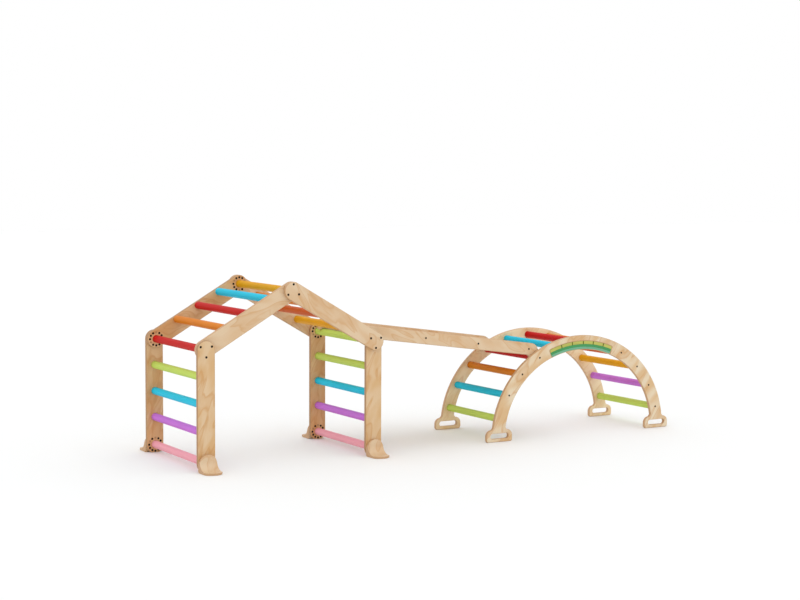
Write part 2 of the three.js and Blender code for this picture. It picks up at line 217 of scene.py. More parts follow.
@dataclass
class Shell:
    """The surface of one piece as it grows, in millimetres in the piece's own coordinates.

    In the grain coordinates x runs along the grain, y across it and z through the plies. Edge is 0
    on a face of the board and 1 where the plies are cut through.

    Attributes:
        points: places of its vertices.
        normals: their outward normals.
        grain: their places in the wood.
        edge: how far they are on a cut edge, from 0 to 1.
        faces: the vertices of each face.
        flats: normals of the faces that have one of their own.
    """

    points: list[Vector] = field(default_factory=list)
    normals: list[Vector] = field(default_factory=list)
    grain: list[Vector] = field(default_factory=list)
    edge: list[float] = field(default_factory=list)
    faces: list[tuple[int, ...]] = field(default_factory=list)
    flats: dict[int, Vector] = field(default_factory=dict)

    def add(self, point: Vector, normal: Vector, grain: Vector, edge: float) -> int:
        """Adds a vertex.

        Args:
            point: its place.
            normal: its outward normal.
            grain: its place in the wood.
            edge: 0 on a face of the board, 1 on a cut edge.

        Returns:
            Its number.
        """
        self.points.append(point)
        self.normals.append(normal)
        self.grain.append(grain)
        self.edge.append(edge)
        return len(self.points) - 1

    def band(self, low: Sequence[int], high: Sequence[int]) -> None:
        """Joins two closed rings of the same length with faces.

        Args:
            low: the first ring's vertices.
            high: the second ring's, in the same order.
        """
        count = len(low)
        for i in range(count):
            j = (i + 1) % count
            self.faces.append((low[i], low[j], high[j], high[i]))

    def flat(self, corners: Sequence[int], normal: Vector) -> None:
        """Adds one face with a normal of its own, so that its rim stays crisp."""
        self.flats[len(self.faces)] = normal
        self.faces.append(tuple(corners))

    def cap(self, rings: Sequence[Sequence[int]], up: bool) -> None:
        """Fills the region between an outer ring and the rings inside it.

        Args:
            rings: the outer ring and then the holes' rings.
            up: whether the face looks along +z, else along -z.
        """
        order = [i for ring in rings for i in ring]
        loops = [[self.points[i].xy.to_3d() for i in ring] for ring in rings]
        for tri in tessellate_polygon(loops):
            a, b, c = (order[k] for k in tri)
            pa, pb, pc = (self.points[k] for k in (a, b, c))
            rises = (pb - pa).cross(pc - pa).z > 0
            self.faces.append((a, b, c) if rises == up else (a, c, b))

    def merge(self, other: "Shell", place: Matrix) -> None:
        """Takes in another shell, moved to its place.

        Args:
            other: what is taken in.
            place: where it goes.
        """
        start = len(self.points)
        first = len(self.faces)
        turn = place.to_3x3().normalized()
        self.points += [place @ p for p in other.points]
        self.normals += [turn @ n for n in other.normals]
        self.grain += other.grain
        self.edge += other.edge
        flip = place.determinant() < 0
        for face in other.faces:
            moved = tuple(start + i for i in face)
            self.faces.append(moved[::-1] if flip else moved)
        for i, normal in other.flats.items():
            self.flats[first + i] = turn @ normal


@dataclass(frozen=True)
class Piece:
    """What a finished shell becomes.

    Attributes:
        name: of the object.
        body: the frame's body that it moves with.
        material: its look.
        slot: the record's material slot, or none for small metal parts.
        stands_for: the CAD nodes that it replaces.
    """

    name: str
    body: str
    # slot: the record's material slot, or none for small metal parts; it is not used.
    material: bpy.types.Material
    slot: str | None = None
    stands_for: tuple[str, ...] = ()

    def make(self, shell: Shell, place: Matrix) -> None:
        """Writes the mesh in the frame's coordinates and ties it to its body.

        Args:
            shell: the surface in its own coordinates.
            place: where it goes in the set.
        """
        whole = Shell()
        whole.merge(shell, place)
        mesh = bpy.data.meshes.new(self.name)
        mesh.from_pydata([p / METRE for p in whole.points], [], whole.faces)
        mesh.shade_smooth()
        normals = [
            tuple(whole.flats.get(k, whole.normals[i]))
            for k, face in enumerate(whole.faces)
            for i in face
        ]
        mesh.normals_split_custom_set(normals)
        draw = random.Random(self.name)
        shift = Vector([draw.uniform(0, PATTERN_SPREAD) for _ in range(2)])
        grain = mesh.attributes.new("grain", "FLOAT_VECTOR", "POINT")
        places = [value for g in whole.grain for value in (g.x + shift.x, g.y + shift.y, g.z)]
        grain.data.foreach_set("vector", places)
        edge = mesh.attributes.new("edge", "FLOAT", "POINT")
        edge.data.foreach_set("value", whole.edge)
        mesh.materials.append(self.material)
        mesh.update()
        made = bpy.data.objects.new(self.name, mesh)
        bpy.context.scene.collection.objects.link(made)
        LOG.info("%s on %s", self.name, self.body)
        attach(made, self.body)
        if self.slot:
            self.slot
        if self.stands_for:
            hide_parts(*self.stands_for)


@dataclass(frozen=True)
class Cut:
    """A hole or a pocket in a board.

    Attributes:
        loop: its outline.
        soft: radius of its rim.
        depth: how deep it goes, or none for right through.
        far: whether a pocket opens on the far face.
    """

    loop: Loop
    soft: float
    depth: float | None = None
    far: bool = False


def rim_rows(thick: float, soft: float, depth: float | None = None, steps: int = 4) -> list[Row]:
    """Rows of points that make up a board's edge or a cut's wall.

    Args:
        thick: thickness of the board.
        soft: radius of the rim.
        depth: how deep the cut goes, or none for right through.
        steps: segments in a rounded rim.

    Returns:
        Each row's depth, its inset, and the outward and the facing part of its normal.
    """
    out = []
    for k in range(steps + 1):
        a = QUARTER * k / steps
        side, face = math.sin(a), math.cos(a)
        out.append((soft * (1 - face), soft * (1 - side), side, face))
    if depth is not None:
        return [*out, (depth, 0.0, 1.0, 0.0)]
    return out + [(thick - d, i, o, -f) for d, i, o, f in reversed(out)]


@dataclass(frozen=True)
class Board:
    """A flat board with softened edges: x and y in its plane, z from its near face to its far face.

    Attributes:
        outline: its outer edge.
        thick: its thickness.
        soft: radius of its outer edge.
        grain: direction of the face grain in the plane, in radians.
        cuts: its holes and pockets.
        share: how much of the softening a place on the outline gets.
    """

    outline: Loop
    thick: float
    soft: float = 4.5
    grain: float = QUARTER
    cuts: tuple[Cut, ...] = ()
    share: Callable[[float, float], float] = lambda x, y: 1.0

    def level(self, depth: float, share: float, cut: Cut) -> float:
        """Height of a row over the near face, where the rim has a share of its softening.

        Args:
            depth: of the row, from the near face.
            share: of the softening at this point.
            cut: the rim or cut that the row belongs to.

        Returns:
            The height.
        """
        if cut.far:
            return self.thick - depth
        if depth < self.thick / 2:
            return depth * share
        return self.thick - (self.thick - depth) * share

    def shell(self) -> Shell:
        """Builds the board's surface.

        Returns:
            The surface, its near face at z = 0.
        """
        made = Shell()
        near: list[list[int]] = []
        far: list[list[int]] = []
        along = Vector((math.cos(self.grain), math.sin(self.grain)))
        across = Vector((-along.y, along.x))
        rim = Cut(self.outline, self.soft)
        for cut in (rim, *self.cuts):
            loop = turned(cut.loop, cut is rim)
            mitres = lefts(loop)
            lean = -1.0 if cut.far else 1.0
            rings = []
            for depth, inset, out, down in rim_rows(self.thick, cut.soft, cut.depth):
                ring = []
                for (x, y), mitre in zip(loop, mitres):
                    share = self.share(x, y) if cut is rim else 1.0
                    p = Vector((x, y)) + mitre * inset * share
                    z = self.level(depth, share, cut)
                    outward = -mitre.normalized()
                    normal = Vector((outward.x * out, outward.y * out, -lean * down))
                    grain = Vector((p.dot(along), p.dot(across), z))
                    ring.append(made.add(Vector((p.x, p.y, z)), normal, grain, out))
                rings.append(ring)
            if cut.far:
                rings.reverse()
            for low, high in zip(rings, rings[1:]):
                made.band(low, high)
            if cut.depth is None:
                near.append(rings[0])
                far.append(rings[-1])
            elif cut.far:
                far.append(rings[-1])
                made.flat(rings[0][::-1], Vector((0, 0, 1)))
            else:
                near.append(rings[0])
                made.flat(rings[-1], Vector((0, 0, -1)))
        made.cap(near, up=False)
        made.cap(far, up=True)
        return made


@dataclass(frozen=True)
class Turning:
    """A turned piece about the y axis.

    Attributes:
        profile: places along the axis and radii, from one end to the other.
        soft: radius of its corners.
        sides: segments round it.
        side_share: most that a rounded corner takes up of either side.
        bend_shares: where its points lie along it.
    """

    profile: Loop
    soft: float = 1.5
    sides: int = 40
    side_share: float = 0.4
    bend_shares: tuple[float, ...] = (0.0, 0.33, 0.67, 1.0)

    def shell(self) -> Shell:
        """Builds the turned surface with a flat face at each end.

        Returns:
            The surface.
        """
        made = Shell()
        rings = []
        for y, r, ny, nr in self.softened():
            ring = []
            for k in range(self.sides):
                a = 4 * QUARTER * k / self.sides
                x, z = math.cos(a), math.sin(a)
                point = Vector((x * r, y, z * r))
                normal = Vector((x * nr, ny, z * nr))
                ring.append(made.add(point, normal, Vector((y, x * r, z * r)), abs(ny)))
            rings.append(ring)
        for low, high in zip(rings, rings[1:]):
            made.band(high, low)
        made.flat(rings[0], Vector((0, -1, 0)))
        made.flat(rings[-1][::-1], Vector((0, 1, 0)))
        return made

    def softened(self) -> list[Row]:
        """The profile with its corners rounded.

        Returns:
            For each point its place along the axis, its radius and its normal's parts along both.
        """
        axis_to_axis = [(self.profile[0][0], 0.0), *self.profile, (self.profile[-1][0], 0.0)]
        out = []
        for before, here, after in zip(axis_to_axis, axis_to_axis[1:], axis_to_axis[2:]):
            corner = Vector(here)
            back = Vector(before) - corner
            ahead = Vector(after) - corner
            reach = min(self.soft, self.side_share * back.length, self.side_share * ahead.length)
            leave = self.normal(-back)
            arrive = self.normal(ahead)
            bent = rounded(back, corner, ahead, reach, self.bend_shares)
            for t, p in zip(self.bend_shares, bent):
                n = leave.lerp(arrive, t).normalized()
                out.append((p.x, p.y, n.x, n.y))
        return out

    @staticmethod
    def normal(step: Vector) -> Vector:
        """The outward normal of a step along the profile: place along the axis, then radius."""
        return Vector((-step.y, step.x)).normalized()


# Finishes


def linear(code: str) -> tuple[float, float, float, float]:
    """A colour written as #RRGGBB, as linear light.

    Args:
        code: the colour.

    Returns:
        Red, green, blue and full opacity.
    """
    out = []
    for i in (1, 3, 5):
        c = int(code[i : i + 2], 16) / 255
        out.append(c / 12.92 if c <= 0.04045 else ((c + 0.055) / 1.055) ** 2.4)
    return (*out, 1.0)


@dataclass(frozen=True)
class Pattern:
    """A noise over the grain coordinates, and the part of it that shows.

    Attributes:
        scale: per millimetre along the grain, across it and through the board.
        detail: how many finer layers it has.
        rough: how strong they are.
        bend: how much it is warped.
        low: level at which it begins to show.
        high: level from which it shows in full.
        most: how strongly it shows there.
    """

    scale: tuple[float, float, float]
    detail: float
    rough: float = 0.5
    bend: float = 0.0
    low: float = 0.0
    high: float = 1.0
    most: float = 1.0

    def noise(self, w: Wiring, grain: Any) -> bpy.types.NodeSocket:
        """Adds the noise, its coordinates scaled to the pattern's size.

        Args:
            w: the material's nodes.
            grain: the coordinates, in millimetres.

        Returns:
            The noise.
        """
        scaled = w.add("VectorMath", inputs={0: grain, 1: self.scale}, operation="MULTIPLY")
        inputs = {
            "Vector": scaled,
            "Scale": 1.0,
            "Detail": self.detail,
            "Roughness": self.rough,
            "Distortion": self.bend,
        }
        return w.add("TexNoise", inputs=inputs)

    def over(self, w: Wiring, noise: Any, under: Any, ink: Any) -> bpy.types.NodeSocket:
        """Lays a colour over another where the pattern shows."""
        return w.graded(noise, (self.low, self.high), under, ink, self.most)


class Wiring:
    """The node tree of a material or of the world, under construction."""

    def __init__(self, owner: Any, shader: str = "Principled BSDF") -> None:
        """Starts from the tree's own shader.

        Args:
            owner: the material or the world.
            shader: name of its shader's node.
        """
        owner.use_nodes = True
        self.owner = owner
        self.tree = owner.node_tree
        self.surface = self.tree.nodes[shader]

    def add(
        self, kind: str, out: int | str = 0, inputs: dict | None = None, **settings: Any
    ) -> bpy.types.NodeSocket:
        """Adds a node.

        Args:
            kind: its type without the ShaderNode prefix.
            out: which of its outputs is handed back.
            inputs: values or other nodes' outputs for its inputs.
            **settings: attributes of the node itself.

        Returns:
            The chosen output socket.
        """
        made = self.tree.nodes.new("ShaderNode" + kind)
        for key, value in settings.items():
            setattr(made, key, value)
        for key, value in (inputs or {}).items():
            self.feed(made.inputs[key], value)
        return made.outputs[out]

    def feed(self, socket: bpy.types.NodeSocket, value: Any) -> None:
        """Links an output to an input, or writes a plain value there.

        Args:
            socket: the input.
            value: what it gets.
        """
        if isinstance(value, bpy.types.NodeSocket):
            self.tree.links.new(value, socket)
        else:
            socket.default_value = value

    def finish(self, **inputs: Any) -> Any:
        """Sets the shader's inputs.

        Args:
            **inputs: values or other nodes' outputs, named with _ for a space.

        Returns:
            The finished material or world.
        """
        for key, value in inputs.items():
            self.feed(self.surface.inputs[key.replace("_", " ")], value)
        return self.owner

    def graded(
        self, value: Any, span: Point, under: Any, over: Any, most: float = 1.0
    ) -> bpy.types.NodeSocket:
        """Passes from one colour to another as a value rises.

        Args:
            value: what rises.
            span: where the second colour begins and where it is full.
            under: the first colour.
            over: the second colour.
            most: share of the second colour where it is full.

        Returns:
            The mixed colour.
        """
        low, high = span
        inputs = {"Value": value, "From Min": low, "From Max": high, "To Min": 0, "To Max": most}
        share = self.add("MapRange", inputs=inputs, interpolation_type="SMOOTHSTEP")
        return self.add("Mix", out=2, inputs={0: share, 6: under, 7: over}, data_type="RGBA")


# Strength of a peeled veneer's year rings against the height of its figure
RINGS = (
    (0.0, 0.0),
    (0.50, 0.0),
    (0.535, 0.85),
    (0.57, 0.4),
    (0.64, 0.2),
    (0.665, 0.6),
    (0.70, 0.2),
    (1.0, 0.0),
)


@dataclass(frozen=True)
class PlyFinish:
    """Clear-lacquered birch plywood: pale peeled veneer with honey flames, its layers at the edges.

    Attributes:
        name: of the material.
        pale: the veneer's own colour.
        tan: of its clouds and fine lines.
        honey: of its flames.
        layer_light: of the plies cut along the grain.
        layer_dark: of those cut across it.
        layer: thickness of a ply.
        layer_blur: how softly one ply passes into the next.
        rim: where on a rounded edge the plies begin and end to show.
        rough: how matt the lacquer is.
        lean: of the flames against the grain.
        flames: how strong they are.
        relief: how much the fine lines catch the light.
        relief_h: their height.
        figure: the flames, about 210 mm long and 67 mm wide.
        lines: the fine lines, about 80 mm long and 2.4 mm wide.
        clouds: about 140 mm long and 60 mm wide.
        fibres: those of a cut edge, about 7 mm long and 1 mm thick.
    """

    name: str = "lacquered_birch_plywood"
    pale: str = "#DABC95"
    tan: str = "#D2AA77"
    honey: str = "#C48B46"
    layer_light: str = "#BC9265"
    layer_dark: str = "#946A43"
    layer: float = 1.4
    layer_blur: float = 0.35
    rim: Point = (0.35, 0.8)
    rough: float = 0.45
    lean: float = math.radians(24)
    flames: float = 0.7
    relief: float = 0.12
    relief_h: float = 0.12
    figure: Pattern = Pattern((0.0048, 0.015, 0.0), 1.6, 0.4, 0.9)
    lines: Pattern = Pattern((0.012, 0.42, 0.1), 3.0, 0.6, low=0.4, high=0.8, most=0.35)
    clouds: Pattern = Pattern((0.007, 0.016, 0.0), 1.5, bend=0.3, low=0.36, high=0.66)
    fibres: Pattern = Pattern((0.15, 0.15, 0.9), 2.0, 0.6, low=0.3, high=0.8, most=0.35)

    def build(self) -> bpy.types.Material:
        """Builds the material.

        Returns:
            The material.
        """
        w = Wiring(bpy.data.materials.new(self.name))
        grain = w.add("Attribute", out="Vector", attribute_name="grain")
        edge = w.add("Attribute", out="Fac", attribute_name="edge")
        # Fine lines that the eye reads as grain, drawn coarser than the wood's own pores.
        lines = self.lines.noise(w, grain)
        colour = w.graded(edge, self.rim, self.face(w, grain, lines), self.layers(w, grain))
        height = self.relief_h / METRE
        bump = {"Height": lines, "Strength": self.relief, "Distance": height}
        return w.finish(Base_Color=colour, Roughness=self.rough, Normal=w.add("Bump", inputs=bump))

    def face(self, w: Wiring, grain: Any, lines: Any) -> bpy.types.NodeSocket:
        """The veneer: peeled off the log, so year rings show as wavering flames, crisp on one side.

        Args:
            w: the material's nodes.
            grain: its grain coordinates.
            lines: the noise of the fine lines.

        Returns:
            The veneer's colour.
        """
        slant = w.add(
            "VectorRotate", inputs={"Vector": grain, "Angle": self.lean}, rotation_type="Z_AXIS"
        )
        tan = linear(self.tan)
        veneer = self.clouds.over(w, self.clouds.noise(w, slant), linear(self.pale), tan)
        veneer = self.lines.over(w, lines, veneer, tan)
        flames = w.add("ValToRGB", inputs={"Fac": self.figure.noise(w, slant)})
        rings = flames.node.color_ramp.elements
        for i, (place, level) in enumerate(RINGS):
            ring = rings[i] if i < 2 else rings.new(place)
            ring.position = place
            ring.color = (level, level, level, 1.0)
        strength = w.add("Math", inputs={0: flames, 1: self.flames}, operation="MULTIPLY")
        inputs = {0: strength, 6: veneer, 7: linear(self.honey)}
        return w.add("Mix", out=2, inputs=inputs, data_type="RGBA")

    def layers(self, w: Wiring, grain: Any) -> bpy.types.NodeSocket:
        """The plies of a cut edge in turn, end grain darker than long grain.

        Args:
            w: the material's nodes.
            grain: its grain coordinates.

        Returns:
            The cut edge's colour.
        """
        depth = w.add("SeparateXYZ", out="Z", inputs={0: grain})
        turns = w.add("Math", inputs={0: depth, 1: math.pi / self.layer}, operation="MULTIPLY")
        wave = w.add("Math", inputs={0: turns}, operation="SINE")
        light = linear(self.layer_light)
        blur = (-self.layer_blur, self.layer_blur)
        plies = w.graded(wave, blur, light, linear(self.layer_dark))
        return self.fibres.over(w, self.fibres.noise(w, grain), plies, light)


@dataclass(frozen=True)
class PaintFinish:
    """Water-based satin paint on a turned beech dowel, thin enough for the grain to print through.

    Chalk in it breaks up the mirror part of its gloss, so its sheen is a quarter of a lacquer's and
    deep colours stay deep.

    Attributes:
        name: of the material.
        colour: of the paint.
        deep: how light it is where the grain prints through.
        rough: how matt it is.
        sheen: strength of its mirror part.
        relief: how much the grain catches the light.
        relief_h: its height.
        lines: the grain that prints through, about 100 mm long and 3 mm wide.
        clouds: thinly painted patches, about 170 mm long and 33 mm wide.
    """

    name: str
    colour: str
    deep: float = 0.82
    rough: float = 0.5
    sheen: float = 0.12
    relief: float = 0.15
    relief_h: float = 0.1
    lines: Pattern = Pattern((0.01, 0.35, 0.35), 3.0, 0.6, low=0.4, high=0.8, most=0.55)
    clouds: Pattern = Pattern((0.006, 0.03, 0.03), 1.0, low=0.35, high=0.75, most=0.35)

    def build(self) -> bpy.types.Material:
        """Builds the material.

        Returns:
            The material.
        """
        w = Wiring(bpy.data.materials.new(self.name))
        grain = w.add("Attribute", out="Vector", attribute_name="grain")
        lines = self.lines.noise(w, grain)
        base = linear(self.colour)
        dark = (*(c * self.deep for c in base[:3]), 1.0)
        colour = self.lines.over(w, lines, base, dark)
        colour = self.clouds.over(w, self.clouds.noise(w, grain), colour, dark)
        height = self.relief_h / METRE
        bump = {"Height": lines, "Strength": self.relief, "Distance": height}
        return w.finish(
            Base_Color=colour,
            Roughness=self.rough,
            Specular_IOR_Level=self.sheen,
            Normal=w.add("Bump", inputs=bump),
        )


@dataclass(frozen=True)
class SteelFinish:
    """Black-oxide steel of screws, pins and sleeves: dark, with a dull sheen worn a little brown.

    Attributes:
        name: of the material.
        black: colour of the oxide.
        worn: colour where it is worn.
        metal: how much it still looks like metal.
        rough: how matt it is.
        wear: the worn patches, about 1.7 mm wide.
    """

    name: str = "black_oxide_steel"
    black: str = "#120C08"
    worn: str = "#22170E"
    metal: float = 0.8
    rough: float = 0.5
    wear: Pattern = Pattern((0.6, 0.6, 0.6), 3.0, 0.6, low=0.45, high=0.75)

    def build(self) -> bpy.types.Material:
        """Builds the material.

        Returns:
            The material.
        """
        w = Wiring(bpy.data.materials.new(self.name))
        grain = w.add("Attribute", out="Vector", attribute_name="grain")
        wear = self.wear.noise(w, grain)
        colour = self.wear.over(w, wear, linear(self.black), linear(self.worn))
        return w.finish(Base_Color=colour, Metallic=self.metal, Roughness=self.rough)


class Paint(Enum):
    """The paints of the rungs and of the rainbow."""

    RED = "#C40E08"
    ORANGE = "#DC801C"
    RUST = "#CB5C1C"
    AMBER = "#E2A20E"
    LIME = "#C2D962"
    CYAN = "#20C4E2"
    VIOLET = "#C874D6"
    PINK = "#F3A8B4"
    GREEN = "#4C9A5E"
    TEAL = "#74B290"

    @property
    def slot(self) -> str:
        """The record's slot of this paint."""
        return f"{self.name.lower()}_paint"


class Palette:
    """Every material of the set, built once.

    Copies of the plywood carry painted light and shade. ply is the legs'; painted_light_edge_ply,
    a paler copy with its cut edges painted lighter where light falls on them, the roofs', the
    slide's and the feet's; painted_shade_ply, a darker copy in painted shade, the house's shaded
    back rails'; pale_ply the arch's front rail's; and painted_light_ply, a paler copy in painted
    light, its back rail's. The slide's board is varnished smoother, so it shines a little more. The
    rainbow's lime is yellower than the rungs', and thin joints cross it, dark with painted shade of
    the gaps between its segments.
    """

    def __init__(self) -> None:
        """Builds the materials."""
        self.ply = PlyFinish().build()
        self.pale_ply = PlyFinish(
            name="pale_lacquered_birch_plywood",
            pale="#E2D0B2",
            tan="#D7B384",
            honey="#C9955A",
            layer_light="#CDA67C",
            layer_dark="#AF845A",
            flames=0.75,
        ).build()
        # A paler copy of the ply whose cut edges are painted lighter: painted light where light
        # falls on them.
        self.painted_light_edge_ply = PlyFinish(
            name="birch_plywood_with_painted_light_edges",
            pale="#DCC2A0",
            tan="#D6B48C",
            flames=0.55,
            layer_light="#CDA67C",
            layer_dark="#B58A60",
        ).build()
        # A paler copy of the arch's ply for its back rail: the extra paleness is painted light on
        # its inner face.
        self.painted_light_ply = PlyFinish(
            name="birch_plywood_with_painted_light",
            pale="#F0DAB4",
            tan="#E8C99A",
            honey="#D3A266",
            layer_light="#D6AF86",
            layer_dark="#B98E64",
            flames=0.5,
        ).build()
        # A darker copy of the legs' ply: its extra darkness is painted shade, for back rails inside
        # the house.
        self.painted_shade_ply = PlyFinish(
            name="birch_plywood_with_painted_shade", pale="#D8B386", tan="#D09F69", honey="#BC7E3C"
        ).build()
        self.deck = PlyFinish(
            name="varnished_slide_board", pale="#E2C8A8", tan="#DAB488", honey="#D0A068", rough=0.3
        ).build()
        # Dark olive for the rainbow's joints: painted shade of the gaps between the outer band's
        # segments.
        self.joint = PaintFinish("joint_paint_in_painted_gap_shade", "#5C6B22").build()
        self.bow_lime = PaintFinish("yellow_lime_inlay_paint", "#BCBC61").build()
        self.steel = SteelFinish().build()
        self.paints = {
            p: PaintFinish(f"satin_{p.name.lower()}_paint", p.value).build() for p in Paint
        }


# The set


@dataclass(frozen=True)
class Stock:
    """Sizes that the whole set shares. The index holes are drawn as wide as their countersinks.

    Attributes:
        board: thickness of the plywood.
        rung_d: diameter of a rung.
        socket: depth of a rung's socket.
        socket_rim: radius of its rim, and of an axle hole's.
        socket_sides: segments round it.
        fit: clearance round what is set in.
        turn_gap: clearance of what turns.
        width: of the house, over its rails.
        rail_w: width of the house's rails.
        pitch: distance between two rungs.
        bays: number of bays in a roof section.
        lowest_bay: height of a leg's lowest bay.
        leg_cut: how much of its round end a leg lacks at the bottom.
        leg_lift: height of that cut over the floor.
        index_edge: distance of the index holes from the rail's edge.
        index_hole: diameter of an index hole.
        index_rim: radius of their rims.
        index_holes: number of them round an axle.
        tenon_d: diameter of a rung's tenon.
    """

    board: float = 18.0
    rung_d: float = 34.0
    socket: float = 9.0
    socket_rim: float = 0.4
    socket_sides: int = 32
    fit: float = 0.3
    turn_gap: float = 0.5
    width: float = 600.0
    rail_w: float = 82.0
    pitch: float = 120.0
    bays: int = 4
    lowest_bay: float = 127.0
    leg_cut: float = 5.0
    leg_lift: float = 1.0
    index_edge: float = 11.0
    index_hole: float = 9.6
    index_rim: float = 0.5
    index_holes: int = 12
    tenon_d: float = 22.0

    @property
    def rail_r(self) -> float:
        """Radius of a rail's round end."""
        return self.rail_w / 2

    @property
    def section(self) -> float:
        """Distance between a roof section's two axles."""
        return self.pitch * self.bays

    @property
    def leg_section(self) -> float:
        """Distance between a leg's foot rung and its joint."""
        return self.section - self.pitch + self.lowest_bay

    @property
    def foot_axis(self) -> float:
        """Height of the foot rungs over the floor."""
        return self.rail_r - self.leg_cut + self.leg_lift

    @property
    def outer_face(self) -> float:
        """Distance of an outer rail's inner face from the middle."""
        return self.width / 2 - self.board

    @property
    def inner_face(self) -> float:
        """Distance of an inner rail's inner face from the middle."""
        return self.outer_face - self.turn_gap - self.board


STOCK = Stock()
SIDES = (("front", -1), ("back", 1))


def beside(side: int, face: float) -> Matrix:
    """Takes a board's own coordinates to a section's: x along X, y along Z, z outwards along Y."""
    return Matrix(((1, 0, 0, 0), (0, 0, side, side * face), (0, 1, 0, 0), (0, 0, 0, 1)))


def standing(spot: Point, height: float = 0.0) -> Matrix:
    """Stands a turned piece on a board, its axis along the board's z."""
    return Matrix.Translation((*spot, height)) @ Matrix.Rotation(QUARTER, 4, "X")


def rung_hole(spot: Point, diameter: float, depth: float) -> Cut:
    """A blind hole for a rung or its tenon."""
    edge = circle(spot, diameter / 2 + STOCK.fit, STOCK.socket_sides)
    return Cut(edge, STOCK.socket_rim, depth)


def dowel(reach: float) -> Shell:
    """A plain rung."""
    r = STOCK.rung_d / 2
    return Turning([(-reach, r), (reach, r)]).shell()


def socketed_dowel(face: float, socket: float = STOCK.socket) -> Shell:
    """A plain rung set into two faces."""
    return dowel(face + socket - STOCK.fit)


def tenoned_dowel(face: float) -> Shell:
    """A rung with a turned-down tenon at each end.

    Args:
        face: distance of the rails' inner faces from the middle.

    Returns:
        The rung along y, about its middle.
    """
    shoulder = face - STOCK.fit
    tip = face + STOCK.socket - STOCK.fit
    r = STOCK.rung_d / 2
    t = STOCK.tenon_d / 2
    profile = [(-tip, t), (-shoulder, t), (-shoulder, r), (shoulder, r), (shoulder, t), (tip, t)]
    return Turning(profile, soft=1.0).shell()


def screw_head(radius: float) -> Shell:
    """A domed screw head with a round recess, its dome along +y.

    Args:
        radius: of the head.

    Returns:
        The head, sunk a little below y = 0.
    """
    sink = 3.0
    rim = 0.2
    dome = 0.8
    bowl = 0.42 * radius
    shoulder = (0.8 * dome, 0.72 * radius)
    recess = (0.3 * dome, 0.9 * bowl)
    profile = [(-sink, radius), (rim, radius), shoulder, (dome, bowl), recess]
    return Turning(profile, soft=0.25, sides=20).shell()


def screws(node: str, body: str, radius: float, places: Loop, spot: Matrix, steel: Any) -> None:
    """Sets screws into a rail.

    Args:
        node: of the rail.
        body: that it belongs to.
        radius: of the heads.
        places: of the screws on the rail.
        spot: the rail's place.
        steel: look of the screws.
    """
    made = Shell()
    for place in places:
        made.merge(screw_head(radius), standing(place, STOCK.board))
    Piece(f"{node}_screws", body, steel).make(made, spot)


# Angles of lock pins about an axle in the rail's own plane, and of the two holes that the pins of
# a foot hide
UPRIGHT = (math.radians(90), math.radians(210), math.radians(330))
LEANING = (math.radians(30), math.radians(150), math.radians(270))
FOOT_HOLD = (math.radians(90), math.radians(150))


class End(Enum):
    """What an end of a rail does."""

    CARRY = "carries the axle and the lock pins"
    TURN = "turns on the axle inside a ring of index holes"
    STAND = "stands on a foot that turns on the lowest rung"


@dataclass(frozen=True)
class RailEnd:
    """One end of a rail.

    Attributes:
        kind: what it does.
        z: its axis along the rail.
        front: angles at which lock pins stand in the front rail.
        back: angles at which they stand in the back rail.
    """

    kind: End
    z: float
    front: tuple[float, ...]
    back: tuple[float, ...]

    def pins(self, side: int) -> tuple[float, ...]:
        """Angles of the lock pins in one rail."""
        return self.front if side < 0 else self.back

    def open_holes(self, side: int) -> list[float]:
        """Angles of the index holes that no pin fills.

        Args:
            side: -1 for the front rail, 1 for the back rail.

        Returns:
            Their angles in radians.
        """
        step = 4 * QUARTER / STOCK.index_holes
        every = [step * i for i in range(STOCK.index_holes)]
        return [a for a in every if all(abs(a - pin) > step / 2 for pin in self.pins(side))]


def ring_places(angles: Iterable[float], z: float) -> Loop:
    """Centres of small holes round an axis."""
    r = STOCK.rail_r - STOCK.index_edge
    return [(r * math.cos(a), z + r * math.sin(a)) for a in angles]


